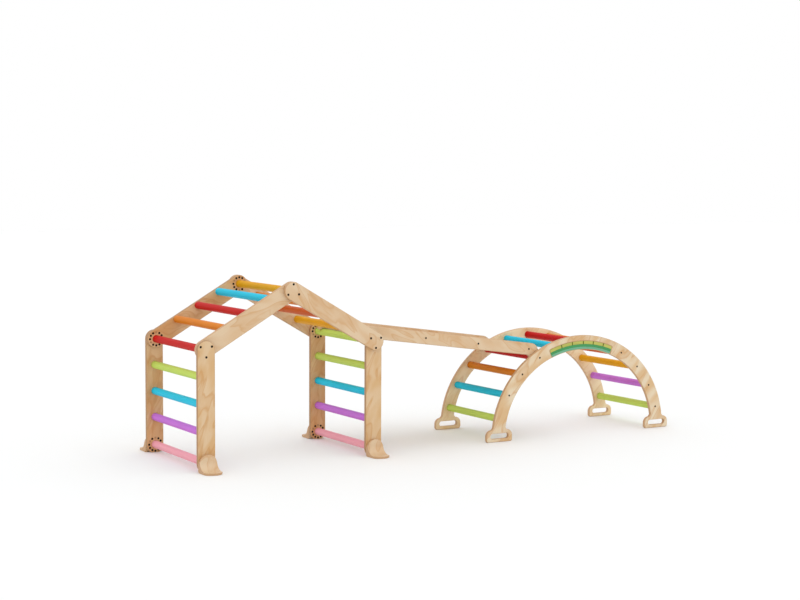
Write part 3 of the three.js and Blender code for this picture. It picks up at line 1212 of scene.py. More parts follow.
@dataclass
class RailPair:
    """The two rails of a section, with sockets, axle holes and index rings.

    Attributes:
        body: the frame's body, whose name starts those of the rails' CAD nodes.
        face: distance of the inner faces from the middle.
        ends: what the two ends do.
        rungs: places of the rungs.
        socket_d: diameter of their sockets.
        place: the section's place in the set.
        front: look of the front rail.
        back: look of the back rail.
        steel: look of the pins and sleeves.
        head_r: radius of a lock pin's head and of an index sleeve's flange.
        head_t: how far they stand proud.
        play: clearance of what is set into an index hole.
        short: how far it ends before the hole does.
        tip_depth: how deep a lock pin's tip lies.
        fitting_soft: radius of its edges.
        least_share: of the rim's softening at a leg's cut end.
        share_run: height over which the softening comes to its full size.
        end_steps: segments in a round end.
        index_sides: segments round an index hole.
    """

    body: str
    face: float
    ends: tuple[RailEnd, RailEnd]
    rungs: Loop
    socket_d: float
    place: Matrix
    front: bpy.types.Material
    back: bpy.types.Material
    steel: bpy.types.Material
    head_r: float = 5.3
    head_t: float = 0.3
    play: float = 0.1
    short: float = 0.4
    tip_depth: float = 0.05
    fitting_soft: float = 0.3
    least_share: float = 0.12
    share_run: float = 14.0
    end_steps: int = 24
    index_sides: int = 16

    def outline(self) -> Loop:
        """The rail's edge, round about both axes, the lower end of a leg cut off level.

        Returns:
            The edge: across the rail, and up from its lower axis.
        """
        low, high = self.ends
        r = STOCK.rail_r
        top = bend((0, high.z), r, 0, 2, self.end_steps)
        if low.kind is not End.STAND:
            return [*bend((0, 0), r, 2, 4, self.end_steps), *top]
        turn = math.asin((r - STOCK.leg_cut) / r)
        half = 2 * QUARTER
        left = arc((0, 0), (r, r), half, half + turn, self.end_steps // 2)
        right = arc((0, 0), (r, r), 2 * half - turn, 2 * half, self.end_steps // 2)
        return [*left, *right, *top]

    def share(self, x: float, z: float) -> float:
        """Share of the rim's softening: little at a leg's cut end, so close to the index holes.

        Args:
            x: across the rail.
            z: up from its lower axis.

        Returns:
            The share, at most 1.
        """
        if self.ends[0].kind is not End.STAND:
            return 1.0
        over_cut = z + STOCK.rail_r - STOCK.leg_cut
        return min(1.0, max(self.least_share, over_cut / self.share_run))

    def cuts(self, side: int) -> Iterable[Cut]:
        """The holes and sockets of one rail.

        Args:
            side: -1 for the front rail, 1 for the back rail.

        Yields:
            One cut after another.
        """
        for spot in self.rungs:
            yield rung_hole(spot, self.socket_d, STOCK.socket)
        for end in self.ends:
            gap = STOCK.turn_gap if end.kind is End.TURN else STOCK.fit
            axle = circle((0, end.z), STOCK.rung_d / 2 + gap, Turning.sides)
            angles = list(end.pins(side))
            if end.kind is End.CARRY:
                yield Cut(axle, STOCK.socket_rim, STOCK.socket)
            else:
                yield Cut(axle, STOCK.socket_rim)
                angles += end.open_holes(side)
            for hole in ring_places(angles, end.z):
                yield Cut(circle(hole, STOCK.index_hole / 2, self.index_sides), STOCK.index_rim)

    def build(self) -> None:
        """Builds both rails and what is set into their holes."""
        for where, side in SIDES:
            cuts = tuple(self.cuts(side))
            board = Board(self.outline(), STOCK.board, cuts=cuts, share=self.share)
            node = f"{self.body}_rail_{where}"
            spot = self.place @ beside(side, self.face)
            ply = self.front if side < 0 else self.back
            Piece(f"{node}_board", self.body, ply, "birch_ply", (node,)).make(board.shell(), spot)
            self.fittings(node, side, ply, spot)

    def fittings(self, node: str, side: int, ply: bpy.types.Material, spot: Matrix) -> None:
        """Lock pins in the outer rails, and dark sleeves and the pins' tips in the index rings.

        Args:
            node: the rail's CAD node.
            side: -1 for the front rail, 1 for the back rail.
            ply: look of the rail.
            spot: the rail's place in the set.
        """
        r = STOCK.index_hole / 2 - self.play
        wide = self.head_r
        deep = STOCK.board - self.short
        head = STOCK.board + self.head_t
        pin = [(self.short, r), (STOCK.board, r), (STOCK.board, wide), (head, wide)]
        sleeve = [(-self.head_t, wide), (0.0, wide), (0.0, r), (deep, r)]
        tip = [(self.tip_depth, r), (deep, r)]
        for end in self.ends:
            level = "low" if end.z == 0 else "high"
            held = ring_places(end.pins(side), end.z)
            if end.kind is End.CARRY:
                self.fill(f"{node}_lock_pins_{level}", self.steel, pin, held, spot)
                continue
            free = ring_places(end.open_holes(side), end.z)
            self.fill(f"{node}_index_sleeves_{level}", self.steel, sleeve, free, spot)
            self.fill(f"{node}_pin_tips_{level}", ply, tip, held, spot)

    def fill(
        self, name: str, look: bpy.types.Material, profile: Loop, holes: Loop, spot: Matrix
    ) -> None:
        """Sets one turned fitting into each of these holes.

        Args:
            name: of the piece that they make up together.
            look: its material.
            profile: from the open face of the hole inwards.
            holes: their centres.
            spot: the rail's place.
        """
        made = Shell()
        fitting = Turning(profile, self.fitting_soft, self.index_sides).shell()
        for hole in holes:
            made.merge(fitting, standing(hole))
        slot = None if look is self.steel else "birch_ply"
        Piece(name, self.body, look, slot).make(made, spot)


@dataclass
class Rungs:
    """A row of painted rungs across a section.

    Attributes:
        body: the frame's body, whose name starts those of the rungs' CAD nodes.
        place: the section's place in the set.
        palette: the set's materials.
    """

    body: str
    place: Matrix
    palette: Palette

    def add(self, node: str, shell: Shell, spot: Point, paint: Paint) -> None:
        """Makes one rung.

        Args:
            node: its CAD node.
            shell: its surface.
            spot: its place in the section's plane.
            paint: its paint.
        """
        place = self.place @ Matrix.Translation((spot[0], 0, spot[1]))
        look = self.palette.paints[paint]
        Piece(f"{node}_dowel", self.body, look, paint.slot, (node,)).make(shell, place)

    def row(self, shell: Shell, spots: Loop, paints: Iterable[Paint]) -> None:
        """Makes the section's numbered rungs, one for each paint."""
        for i, (spot, paint) in enumerate(zip(spots, paints)):
            self.add(f"{self.body}_rung_{i + 1}", shell, spot, paint)


@dataclass
class Foot:
    """A foot of bent plywood: a round-topped plate that sweeps out into a round toe.

    Attributes:
        node: the CAD node.
        body: the frame's body.
        face: distance of its inner face from the middle.
        side: -1 at the front, 1 at the back.
        place: the axle's place in the set.
        palette: the set's materials.
        reach: how far the toe's tip is from the inner face.
        toe: thickness of the toe.
        toe_round: how far the toe's end is rounded.
        run: length of the outward sweep.
        rise: its height.
        heel: radius inside the bend.
        soft: radius of the edges.
        samples: number of steps along its section.
        strips: number of strips along its straight sides.
        heel_steps: segments inside the bend.
        sweep_steps: segments in the outward sweep.
        end_steps: segments in a quarter of a round end.
    """

    node: str
    body: str
    face: float
    side: int
    place: Matrix
    palette: Palette
    reach: float = 97.0
    toe: float = 10.0
    toe_round: float = 28.0
    run: float = 47.0
    rise: float = 40.0
    heel: float = 7.0
    soft: float = 2.4
    samples: int = 64
    strips: int = 20
    heel_steps: int = 8
    sweep_steps: int = 16
    end_steps: int = 12

    @property
    def top(self) -> float:
        """Height of the foot's top over the floor."""
        return STOCK.rail_r + STOCK.foot_axis

    def inner(self) -> Loop:
        """The inner surface in section, from the top down and out to the toe: outwards, height."""
        h = self.heel
        return [(0, self.top), *bend((h, h), h, 2, 3, self.heel_steps), (self.reach, 0)]

    def outer(self) -> Loop:
        """The outer surface in section, from the top down and out to the toe.

        Returns:
            Its line: outwards from the inner face, and height over the floor.
        """
        centre = (STOCK.board + self.run, self.toe + self.rise)
        axes = (self.run, self.rise)
        sweep = arc(centre, axes, 2 * QUARTER, 3 * QUARTER, self.sweep_steps)
        return [(STOCK.board, self.top), *sweep, (self.reach, self.toe)]

    def build(self) -> None:
        """Builds the foot as a stack of outlines between its inner and outer surface."""
        shell = Shell()
        inner = resample(self.inner(), self.samples)
        outer = resample(self.outer(), self.samples)
        length = path_length(self.outer())
        outline = self.plan(length)
        mitres = lefts(outline)
        rings = []
        for depth, inset, out, down in rim_rows(1.0, self.soft / STOCK.board):
            step = inset * STOCK.board
            nearer = inner if depth < 1 / 2 else outer
            ring = []
            for (x, s), mitre in zip(outline, mitres):
                px = x + mitre.x * step
                ps = min(max(s + mitre.y * step, 0.0), length)
                share = ps / length
                y, z = at_share(inner, share).lerp(at_share(outer, share), depth)
                along = heading(nearer, share)
                outward = -mitre.normalized()
                normal = Vector(
                    (
                        outward.x * out,
                        outward.y * out * along.x + down * along.y,
                        outward.y * out * along.y - down * along.x,
                    )
                )
                grain = Vector((ps, px, depth * STOCK.board))
                ring.append(shell.add(Vector((px, y, z)), normal, grain, out))
            rings.append(ring)
        for low, high in zip(rings, rings[1:]):
            shell.band(low, high)
        self.close(shell, rings[0], up=False)
        self.close(shell, rings[-1], up=True)
        outwards = Matrix.Diagonal((1, self.side, 1, 1))
        outwards.translation = (0, self.side * self.face, -STOCK.foot_axis)
        # The foot takes the copy of the ply with painted light on its edges.
        look = self.palette.painted_light_edge_ply
        Piece(f"{self.node}_bent_board", self.body, look, "birch_ply", (self.node,)).make(
            shell, self.place @ outwards
        )

    def plan(self, length: float) -> Loop:
        """The foot's outline laid flat: across, and along from the top to the toe.

        Args:
            length: of the outer surface.

        Returns:
            The outline, counter-clockwise from the top.
        """
        r = STOCK.rail_r
        toe = length - self.toe_round
        half = [
            *bend((0, r), r, -1, 0, self.end_steps),
            *[(r, r + (toe - r) * i / self.strips) for i in range(1, self.strips)],
            *arc((0, toe), (r, self.toe_round), 0, QUARTER, self.end_steps),
        ]
        return half + [(-x, s) for x, s in half[-2:0:-1]]

    @staticmethod
    def close(shell: Shell, ring: list[int], up: bool) -> None:
        """Fills a surface of the foot with strips straight across it.

        Args:
            shell: the foot's surface so far.
            ring: the vertices round it, from the top.
            up: whether it is the outer one.
        """
        half = len(ring) // 2
        right = ring[: half + 1]
        left = [ring[0], *ring[: half - 1 : -1]]
        for i in range(half):
            corners = [left[i], right[i], right[i + 1], left[i + 1]]
            face = list(dict.fromkeys(corners))
            shell.faces.append(tuple(face if up else face[::-1]))


def divided(loop: Loop, longest: float) -> Loop:
    """A closed loop whose long sides are divided into shorter ones.

    Args:
        loop: the corners.
        longest: what no side exceeds then.

    Returns:
        The divided loop.
    """
    out: Loop = []
    for a, b in zip(loop, loop[1:] + loop[:1]):
        parts = max(1, math.ceil(math.dist(a, b) / longest))
        step = ((b[0] - a[0]) / parts, (b[1] - a[1]) / parts)
        out += [(a[0] + step[0] * k, a[1] + step[1] * k) for k in range(parts)]
    return out


def path_length(path: Loop) -> float:
    """Length of an open path."""
    return sum((Vector(b) - Vector(a)).length for a, b in zip(path, path[1:]))


def resample(path: Loop, count: int) -> list[Vector]:
    """Evenly spaced points along an open path.

    Args:
        path: its points.
        count: number of steps.

    Returns:
        The points, both ends included.
    """
    total = path_length(path)
    rounding = 1e-9
    out = [Vector(path[0])]
    walked = 0.0
    k = 1
    for a, b in zip(path, path[1:]):
        start, stop = Vector(a), Vector(b)
        span = (stop - start).length
        while k < count and walked + span >= total * k / count - rounding:
            out.append(start.lerp(stop, (total * k / count - walked) / span))
            k += 1
        walked += span
    return [*out, Vector(path[-1])]


def at_share(path: list[Vector], share: float) -> Vector:
    """The point at a share of an evenly spaced path.

    Args:
        path: its points.
        share: of its length.

    Returns:
        The point.
    """
    place = min(max(share, 0.0), 1.0) * (len(path) - 1)
    i = min(int(place), len(path) - 2)
    return path[i].lerp(path[i + 1], place - i)


def heading(path: list[Vector], share: float, step: float = 0.01) -> Vector:
    """The direction of an evenly spaced path at a share of it."""
    return (at_share(path, share + step) - at_share(path, share - step)).normalized()


@dataclass
class House:
    """The house of four ladder sections about three axles.

    Attributes:
        left: the left hinge's axis in the set: X and Z.
        apex: the apex hinge's.
        right: the right hinge's.
        palette: the set's materials.
        shift: how far the left roof's rungs sit towards the apex.
    """

    left: Vector
    apex: Vector
    right: Vector
    palette: Palette
    shift: float = 12.0

    def places(self, first: float, out: float = 0.0) -> Loop:
        """Places of a section's rungs, from the height of the first."""
        return [(out, first + STOCK.pitch * i) for i in range(STOCK.bays - 1)]

    def at(self, spot: Vector, turn: float = 0.0) -> Matrix:
        """A section's place, from its lower axis and how far it leans to the right."""
        return Matrix.Translation((spot.x, 0, spot.y)) @ Matrix.Rotation(turn, 4, "Y")

    def build(self) -> None:
        """Builds the four sections."""
        lean = math.atan2(self.apex.x - self.left.x, self.apex.y - self.left.y)
        below = Vector((0, STOCK.leg_section))
        height = STOCK.leg_section
        carry = RailEnd(End.CARRY, height, LEANING, UPRIGHT)
        self.leg("left_leg", STOCK.outer_face, carry, self.at(self.left - below))
        turn = RailEnd(End.TURN, height, LEANING, UPRIGHT)
        self.leg("right_leg", STOCK.inner_face, turn, self.at(self.right - below))
        self.left_roof(self.at(self.left, lean))
        self.right_roof(self.at(self.right, -lean))

    def ladder(
        self,
        name: str,
        face: float,
        ends: tuple[RailEnd, RailEnd],
        spots: Loop,
        place: Matrix,
        looks: tuple[bpy.types.Material, bpy.types.Material],
        paints: Iterable[Paint],
        tenoned: bool = False,
    ) -> Rungs:
        """Builds a section's rails and numbered rungs.

        Args:
            name: of its body.
            face: distance of the rails' inner faces from the middle.
            ends: what the rails' two ends do.
            spots: places of the rungs.
            place: the section's place in the set.
            looks: of the front rail and the back rail.
            paints: of the rungs, from the lowest.
            tenoned: whether the rungs have tenons.

        Returns:
            The row of rungs, for the axles that the section carries.
        """
        socket_d = STOCK.tenon_d if tenoned else STOCK.rung_d
        shell = tenoned_dowel(face) if tenoned else socketed_dowel(face)
        RailPair(name, face, ends, spots, socket_d, place, *looks, self.palette.steel).build()
        rungs = Rungs(name, place, self.palette)
        rungs.row(shell, spots, paints)
        return rungs

    def leg(self, name: str, face: float, top: RailEnd, place: Matrix) -> None:
        """A leg with its rungs, its foot rung and two feet.

        Args:
            name: of its body.
            face: distance of the rails' inner faces from the middle.
            top: what the rails' upper ends do.
            place: the section's place in the set.
        """
        ends = (RailEnd(End.STAND, 0.0, FOOT_HOLD, FOOT_HOLD), top)
        spots = self.places(STOCK.lowest_bay)
        # The back rail takes the darker copy of the ply, which paints the shade inside the house.
        looks = (self.palette.ply, self.palette.painted_shade_ply)
        paints = (Paint.VIOLET, Paint.CYAN, Paint.LIME)
        rungs = self.ladder(name, face, ends, spots, place, looks, paints)
        through = face + STOCK.board
        rungs.add(f"{name}_foot_rung", dowel(through), (0, 0), Paint.PINK)
        for where, side in SIDES:
            body = f"{name.split('_')[0]}_foot_{where}"
            foot_face = through + STOCK.turn_gap
            Foot(f"{name}_foot_{where}", body, foot_face, side, place, self.palette).build()
        if top.kind is End.CARRY:
            rungs.add("left_joint_rung", socketed_dowel(face), (0, top.z), Paint.RED)

    def left_roof(self, place: Matrix) -> None:
        """The left slope: inner rails, rungs flush with their upper edge.

        Args:
            place: the section's place in the set.
        """
        ends = (
            RailEnd(End.TURN, 0.0, UPRIGHT, LEANING),
            RailEnd(End.TURN, STOCK.section, LEANING, UPRIGHT),
        )
        spots = self.places(STOCK.pitch + self.shift, STOCK.rung_d / 2 - STOCK.rail_r)
        # Front rail: the copy with edges in painted light; back rail: the darker copy in painted
        # shade.
        looks = (self.palette.painted_light_edge_ply, self.palette.painted_shade_ply)
        paints = (Paint.ORANGE, Paint.RED, Paint.CYAN)
        face = STOCK.inner_face
        self.ladder("left_roof", face, ends, spots, place, looks, paints, tenoned=True)

    def right_roof(self, place: Matrix) -> None:
        """The right slope: outer rails that carry both their axles.

        Args:
            place: the section's place in the set.
        """
        ends = (
            RailEnd(End.CARRY, 0.0, UPRIGHT, LEANING),
            RailEnd(End.CARRY, STOCK.section, LEANING, UPRIGHT),
        )
        spots = self.places(STOCK.pitch)
        # Both rails take the copy of the ply with painted light on its edges.
        looks = (self.palette.painted_light_edge_ply, self.palette.painted_light_edge_ply)
        paints = (Paint.AMBER, Paint.RUST, Paint.ORANGE)
        face = STOCK.outer_face
        rungs = self.ladder("right_roof", face, ends, spots, place, looks, paints)
        rungs.add("right_joint_rung", socketed_dowel(face), (0, 0), Paint.LIME)
        rungs.add("apex_rung", socketed_dowel(face), (0, STOCK.section), Paint.AMBER)


@dataclass
class Arch:
    """The arch climber about its middle.

    Attributes:
        middle: its place along X.
        palette: the set's materials.
        half_span: half-axis of the rails' centre line along X.
        rise: half-axis along Z.
        centre_h: height of the ellipse's centre.
        inset: how much narrower it is than the house, on each side.
        rail_w: width of its rails.
        rungs: number of its rungs.
        first: angle of the first rung over the ellipse's centre.
        socket: depth of their sockets.
        foot_reach: distance of a foot's middle from the arch's.
        foot_l: length of a foot.
        foot_h: height of a foot.
        shoulder: radius of a foot's upper corners.
        sole: radius of its lower corners.
        throat: height over a foot at which the arch's edges end.
        crook: radius where the arch and a foot meet.
        grip_wall: wood left at each end of a hand grip.
        grip_h: height of a hand grip.
        grip_rim: radius of the grips' rims.
        grain: direction of the rails' grain.
        bow_half_angle: how far the rainbow runs to each side of the top.
        bow_rim: wood left inside it.
        bow_depth: depth of the rainbow's pocket.
        bow: width and paint of its bands, from the inside.
        bow_groove: room that the pocket leaves at its outer edge and its ends.
        pocket_rim: radius of the pocket's rim.
        bow_round: radius of the rainbow's shared corners.
        bow_sharp: radius of the bands' other corners.
        bow_soft: radius of their edges.
        bow_step: longest straight piece along them.
        bow_joints: angles of the joints across the outer band, dark with painted shade, in degrees.
        bow_joint_w: their width.
        bow_joint_t: their thickness, four times the radius of their edges.
        bare_rungs: rungs without a screw in the front rail.
        least_share: of the front rail's softening, along the rainbow.
        share_turn: angle over which the softening comes back to its full size.
        screw_r: radius of a screw head.
        shoulder_steps: segments in a foot's upper corners.
        corner_steps: segments in its lower corners and in those of the bands.
        grip_steps: segments in a grip's round ends.
        least_turn: smaller turns of the edge stay as they are.
    """

    middle: float
    palette: Palette
    half_span: float = 484.0
    rise: float = 446.0
    centre_h: float = 12.0
    inset: float = 60.0
    rail_w: float = 70.0
    rungs: int = 11
    first: float = math.radians(12.5)
    socket: float = 6.0
    foot_reach: float = 480.0
    foot_l: float = 148.0
    foot_h: float = 58.0
    shoulder: float = 29.0
    sole: float = 12.0
    throat: float = 10.0
    crook: float = 6.0
    grip_wall: float = 22.0
    grip_h: float = 25.0
    grip_rim: float = 2.6
    grain: float = math.radians(72)
    bow_half_angle: float = math.radians(23)
    bow_rim: float = 2.0
    bow_depth: float = 2.0
    bow: tuple[tuple[float, Paint], ...] = (
        (11.0, Paint.TEAL),
        (13.0, Paint.GREEN),
        (15.0, Paint.LIME),
    )
    bow_groove: float = 3.6
    pocket_rim: float = 0.2
    bow_round: float = 9.0
    bow_sharp: float = 1.0
    bow_soft: float = 0.5
    bow_step: float = 12.0
    bow_joints: tuple[float, ...] = (104.3, 96.5, 88.6, 81.3, 73.7)
    bow_joint_w: float = 5.0
    bow_joint_t: float = 0.4
    bare_rungs: tuple[int, ...] = (0, 4, 5, 6)
    least_share: float = 0.3
    share_turn: float = math.radians(5)
    screw_r: float = 4.6
    shoulder_steps: int = 10
    corner_steps: int = 6
    grip_steps: int = 14
    least_turn: float = math.radians(22)

    @property
    def half_width(self) -> float:
        """Distance of the rails' outer faces from the middle."""
        return STOCK.width / 2 - self.inset

    @property
    def face(self) -> float:
        """Distance of the rails' inner faces from the middle."""
        return self.half_width - STOCK.board

    def curve(self, out: float, start: float, stop: float, steps: int = 60) -> Loop:
        """Points along the arch, a distance outside its centre line."""
        radii = (self.half_span + out, self.rise + out)
        return arc((0, self.centre_h), radii, start, stop, steps)

    def point(self, out: float, turn: float) -> Point:
        """A point of the arch at an angle, a distance outside its centre line."""
        return self.curve(out, turn, turn, 1)[0]

    def angle_at(self, out: float, height: float) -> float:
        """The angle at which an edge of the arch comes down to a height."""
        return math.asin((height - self.centre_h) / (self.rise + out))

    def foot(self) -> Loop:
        """The right foot's edge, from the arch's outer edge round to its inner edge.

        Returns:
            The edge, without what the arch itself covers.
        """
        half = self.rail_w / 2
        outer = self.point(half, self.angle_at(half, self.foot_h))[0]
        inner = self.point(-half, self.angle_at(-half, self.foot_h))[0]
        toe = self.foot_reach + self.foot_l / 2
        heel = self.foot_reach - self.foot_l / 2
        big = self.shoulder
        small = self.sole
        edge = [
            *bend((toe - big, self.foot_h - big), big, 1, 0, self.shoulder_steps),
            *bend((toe - small, small), small, 0, -1, self.corner_steps),
            *bend((heel + small, small), small, -1, -2, self.corner_steps),
            *bend((heel + big, self.foot_h - big), big, 2, 1, self.shoulder_steps),
        ]
        hair = 0.01
        return [p for p in edge if p[1] < self.foot_h - hair or not inner <= p[0] <= outer]

    def outline(self) -> Loop:
        """The edge of a rail with both its feet, throats rounded.

        Returns:
            The closed edge.
        """
        half = self.rail_w / 2
        outer = self.angle_at(half, self.foot_h + self.throat)
        inner = self.angle_at(-half, self.foot_h + self.throat)
        right = self.foot()
        left = [(-x, z) for x, z in reversed(right)]
        edge = [
            *self.curve(half, 2 * QUARTER - outer, outer),
            *right,
            *self.curve(-half, inner, 2 * QUARTER - inner),
            *left,
        ]
        return eased(edge, self.crook, self.least_turn)

    def grip(self, x: float) -> Loop:
        """The hand grip through a foot.

        Args:
            x: the foot's middle.

        Returns:
            Its closed edge.
        """
        r = self.grip_h / 2
        half = self.foot_l / 2 - self.grip_wall - r
        z = self.foot_h / 2
        right = bend((x + half, z), r, -1, 1, self.grip_steps)
        left = bend((x - half, z), r, 1, 3, self.grip_steps)
        return right + left

    def rung_places(self) -> Loop:
        """Places of the rungs from the left foot over the top."""
        step = (2 * QUARTER - 2 * self.first) / (self.rungs - 1)
        return [self.point(0, 2 * QUARTER - self.first - step * i) for i in range(self.rungs)]

    def band(self, low: float, high: float, half_angle: float, inner: float, outer: float) -> Loop:
        """A strip bent along the arch.

        Args:
            low: its inner edge's distance outside the centre line.
            high: its outer edge's.
            half_angle: how far it runs to each side of the top.
            inner: radius of the corners at its inner edge.
            outer: radius of the corners at its outer edge.

        Returns:
            Its outline.
        """
        reach = half_angle * self.rise
        straight = [
            *bend((inner - reach, low + inner), inner, 2, 3, self.corner_steps),
            *bend((reach - inner, low + inner), inner, -1, 0, self.corner_steps),
            *bend((reach - outer, high - outer), outer, 0, 1, self.corner_steps),
            *bend((outer - reach, high - outer), outer, 1, 2, self.corner_steps),
        ]
        edge = divided(straight, self.bow_step)
        return [self.point(out, QUARTER - x / self.rise) for x, out in edge]

    def build(self) -> None:
        """Builds the rails, rungs, rainbow and screws."""
        place = Matrix.Translation((self.middle, 0, 0))
        places = self.rung_places()
        low = self.bow_rim - self.rail_w / 2
        width = sum(w for w, _ in self.bow) + self.bow_groove
        half = self.bow_half_angle + self.bow_groove / self.rise
        pocket = self.band(low, low + width, half, self.bow_sharp, self.bow_round)
        for where, side in SIDES:
            front = side < 0
            cuts = [Cut(self.grip(end * self.foot_reach), self.grip_rim) for end in (-1, 1)]
            cuts += [rung_hole(spot, STOCK.rung_d, self.socket) for spot in places]
            if front:
                cuts.append(Cut(pocket, self.pocket_rim, self.bow_depth, far=True))
            share = self.edge_share if front else Board.share
            edge = self.outline()
            board = Board(edge, STOCK.board, grain=self.grain, cuts=tuple(cuts), share=share)
            node = f"arch_rail_{where}"
            spot = place @ beside(side, self.face)
            # The back rail takes the paler copy, whose extra paleness is painted light.
            ply = self.palette.pale_ply if front else self.palette.painted_light_ply
            Piece(f"{node}_board", "arch", ply, "birch_ply", (node,)).make(board.shell(), spot)
            bare = self.bare_rungs if front else ()
            screwed = [p for i, p in enumerate(places) if i not in bare]
            screws(node, "arch", self.screw_r, screwed, spot, self.palette.steel)
        order = "LIME CYAN ORANGE RED CYAN RED ORANGE RUST AMBER VIOLET LIME".split()
        rung = socketed_dowel(self.face, self.socket)
        Rungs("arch", place, self.palette).row(rung, places, [Paint[name] for name in order])
        self.rainbow(place, low)

    def rainbow(self, place: Matrix, low: float) -> None:
        """The inlaid bands, round at the rainbow's own corners, and the outer band's joints, whose
        dark paint is painted shade of the gaps between its segments.

        Args:
            place: the arch's place in the set.
            low: the inner edge's distance outside the centre line.
        """
        half = self.bow_half_angle - STOCK.fit / self.rise
        spot = place @ beside(-1, self.half_width - self.bow_depth + STOCK.fit)
        thick = self.bow_depth - STOCK.fit
        last = len(self.bow) - 1
        for i, (width, paint) in enumerate(self.bow):
            start = low + STOCK.fit
            stop = low + width
            inner = self.bow_round if i == 0 else self.bow_sharp
            outer = self.bow_round if i == last else self.bow_sharp
            edge = self.band(start, stop, half, inner, outer)
            strip = Board(edge, thick, self.bow_soft, grain=0.0)
            node = f"rainbow_band_{i + 1}"
            look = self.palette.bow_lime if paint is Paint.LIME else self.palette.paints[paint]
            Piece(f"{node}_inlay", "arch", look, paint.slot, (node,)).make(strip.shell(), spot)
            low += width
        # The joints cross the last band, whose edges start and stop still hold.
        # Their dark paint is painted shade of the gaps between the band's segments.
        joints = Shell()
        share = self.bow_joint_w / self.rise / 2
        on_top = Matrix.Translation((0, 0, thick))
        for degrees in self.bow_joints:
            turn = math.radians(degrees)
            edge = self.curve(stop, turn - share, turn + share, 2)
            edge += self.curve(start, turn + share, turn - share, 2)
            joints.merge(Board(edge, self.bow_joint_t, self.bow_joint_t / 4).shell(), on_top)
        Piece("rainbow_joints", "arch", self.palette.joint, "green_paint").make(joints, spot)

    def edge_share(self, x: float, z: float) -> float:
        """Share of the rim's softening: little along the inlay, which is close to the inner edge.

        Args:
            x: across from the arch's middle.
            z: height over the floor.

        Returns:
            The share, at most 1.
        """
        across, up = x / self.half_span, (z - self.centre_h) / self.rise
        if math.hypot(across, up) > 1:
            return 1.0
        past = abs(math.atan2(across, up)) - self.bow_half_angle
        return min(1.0, max(self.least_share, self.least_share + past / self.share_turn))


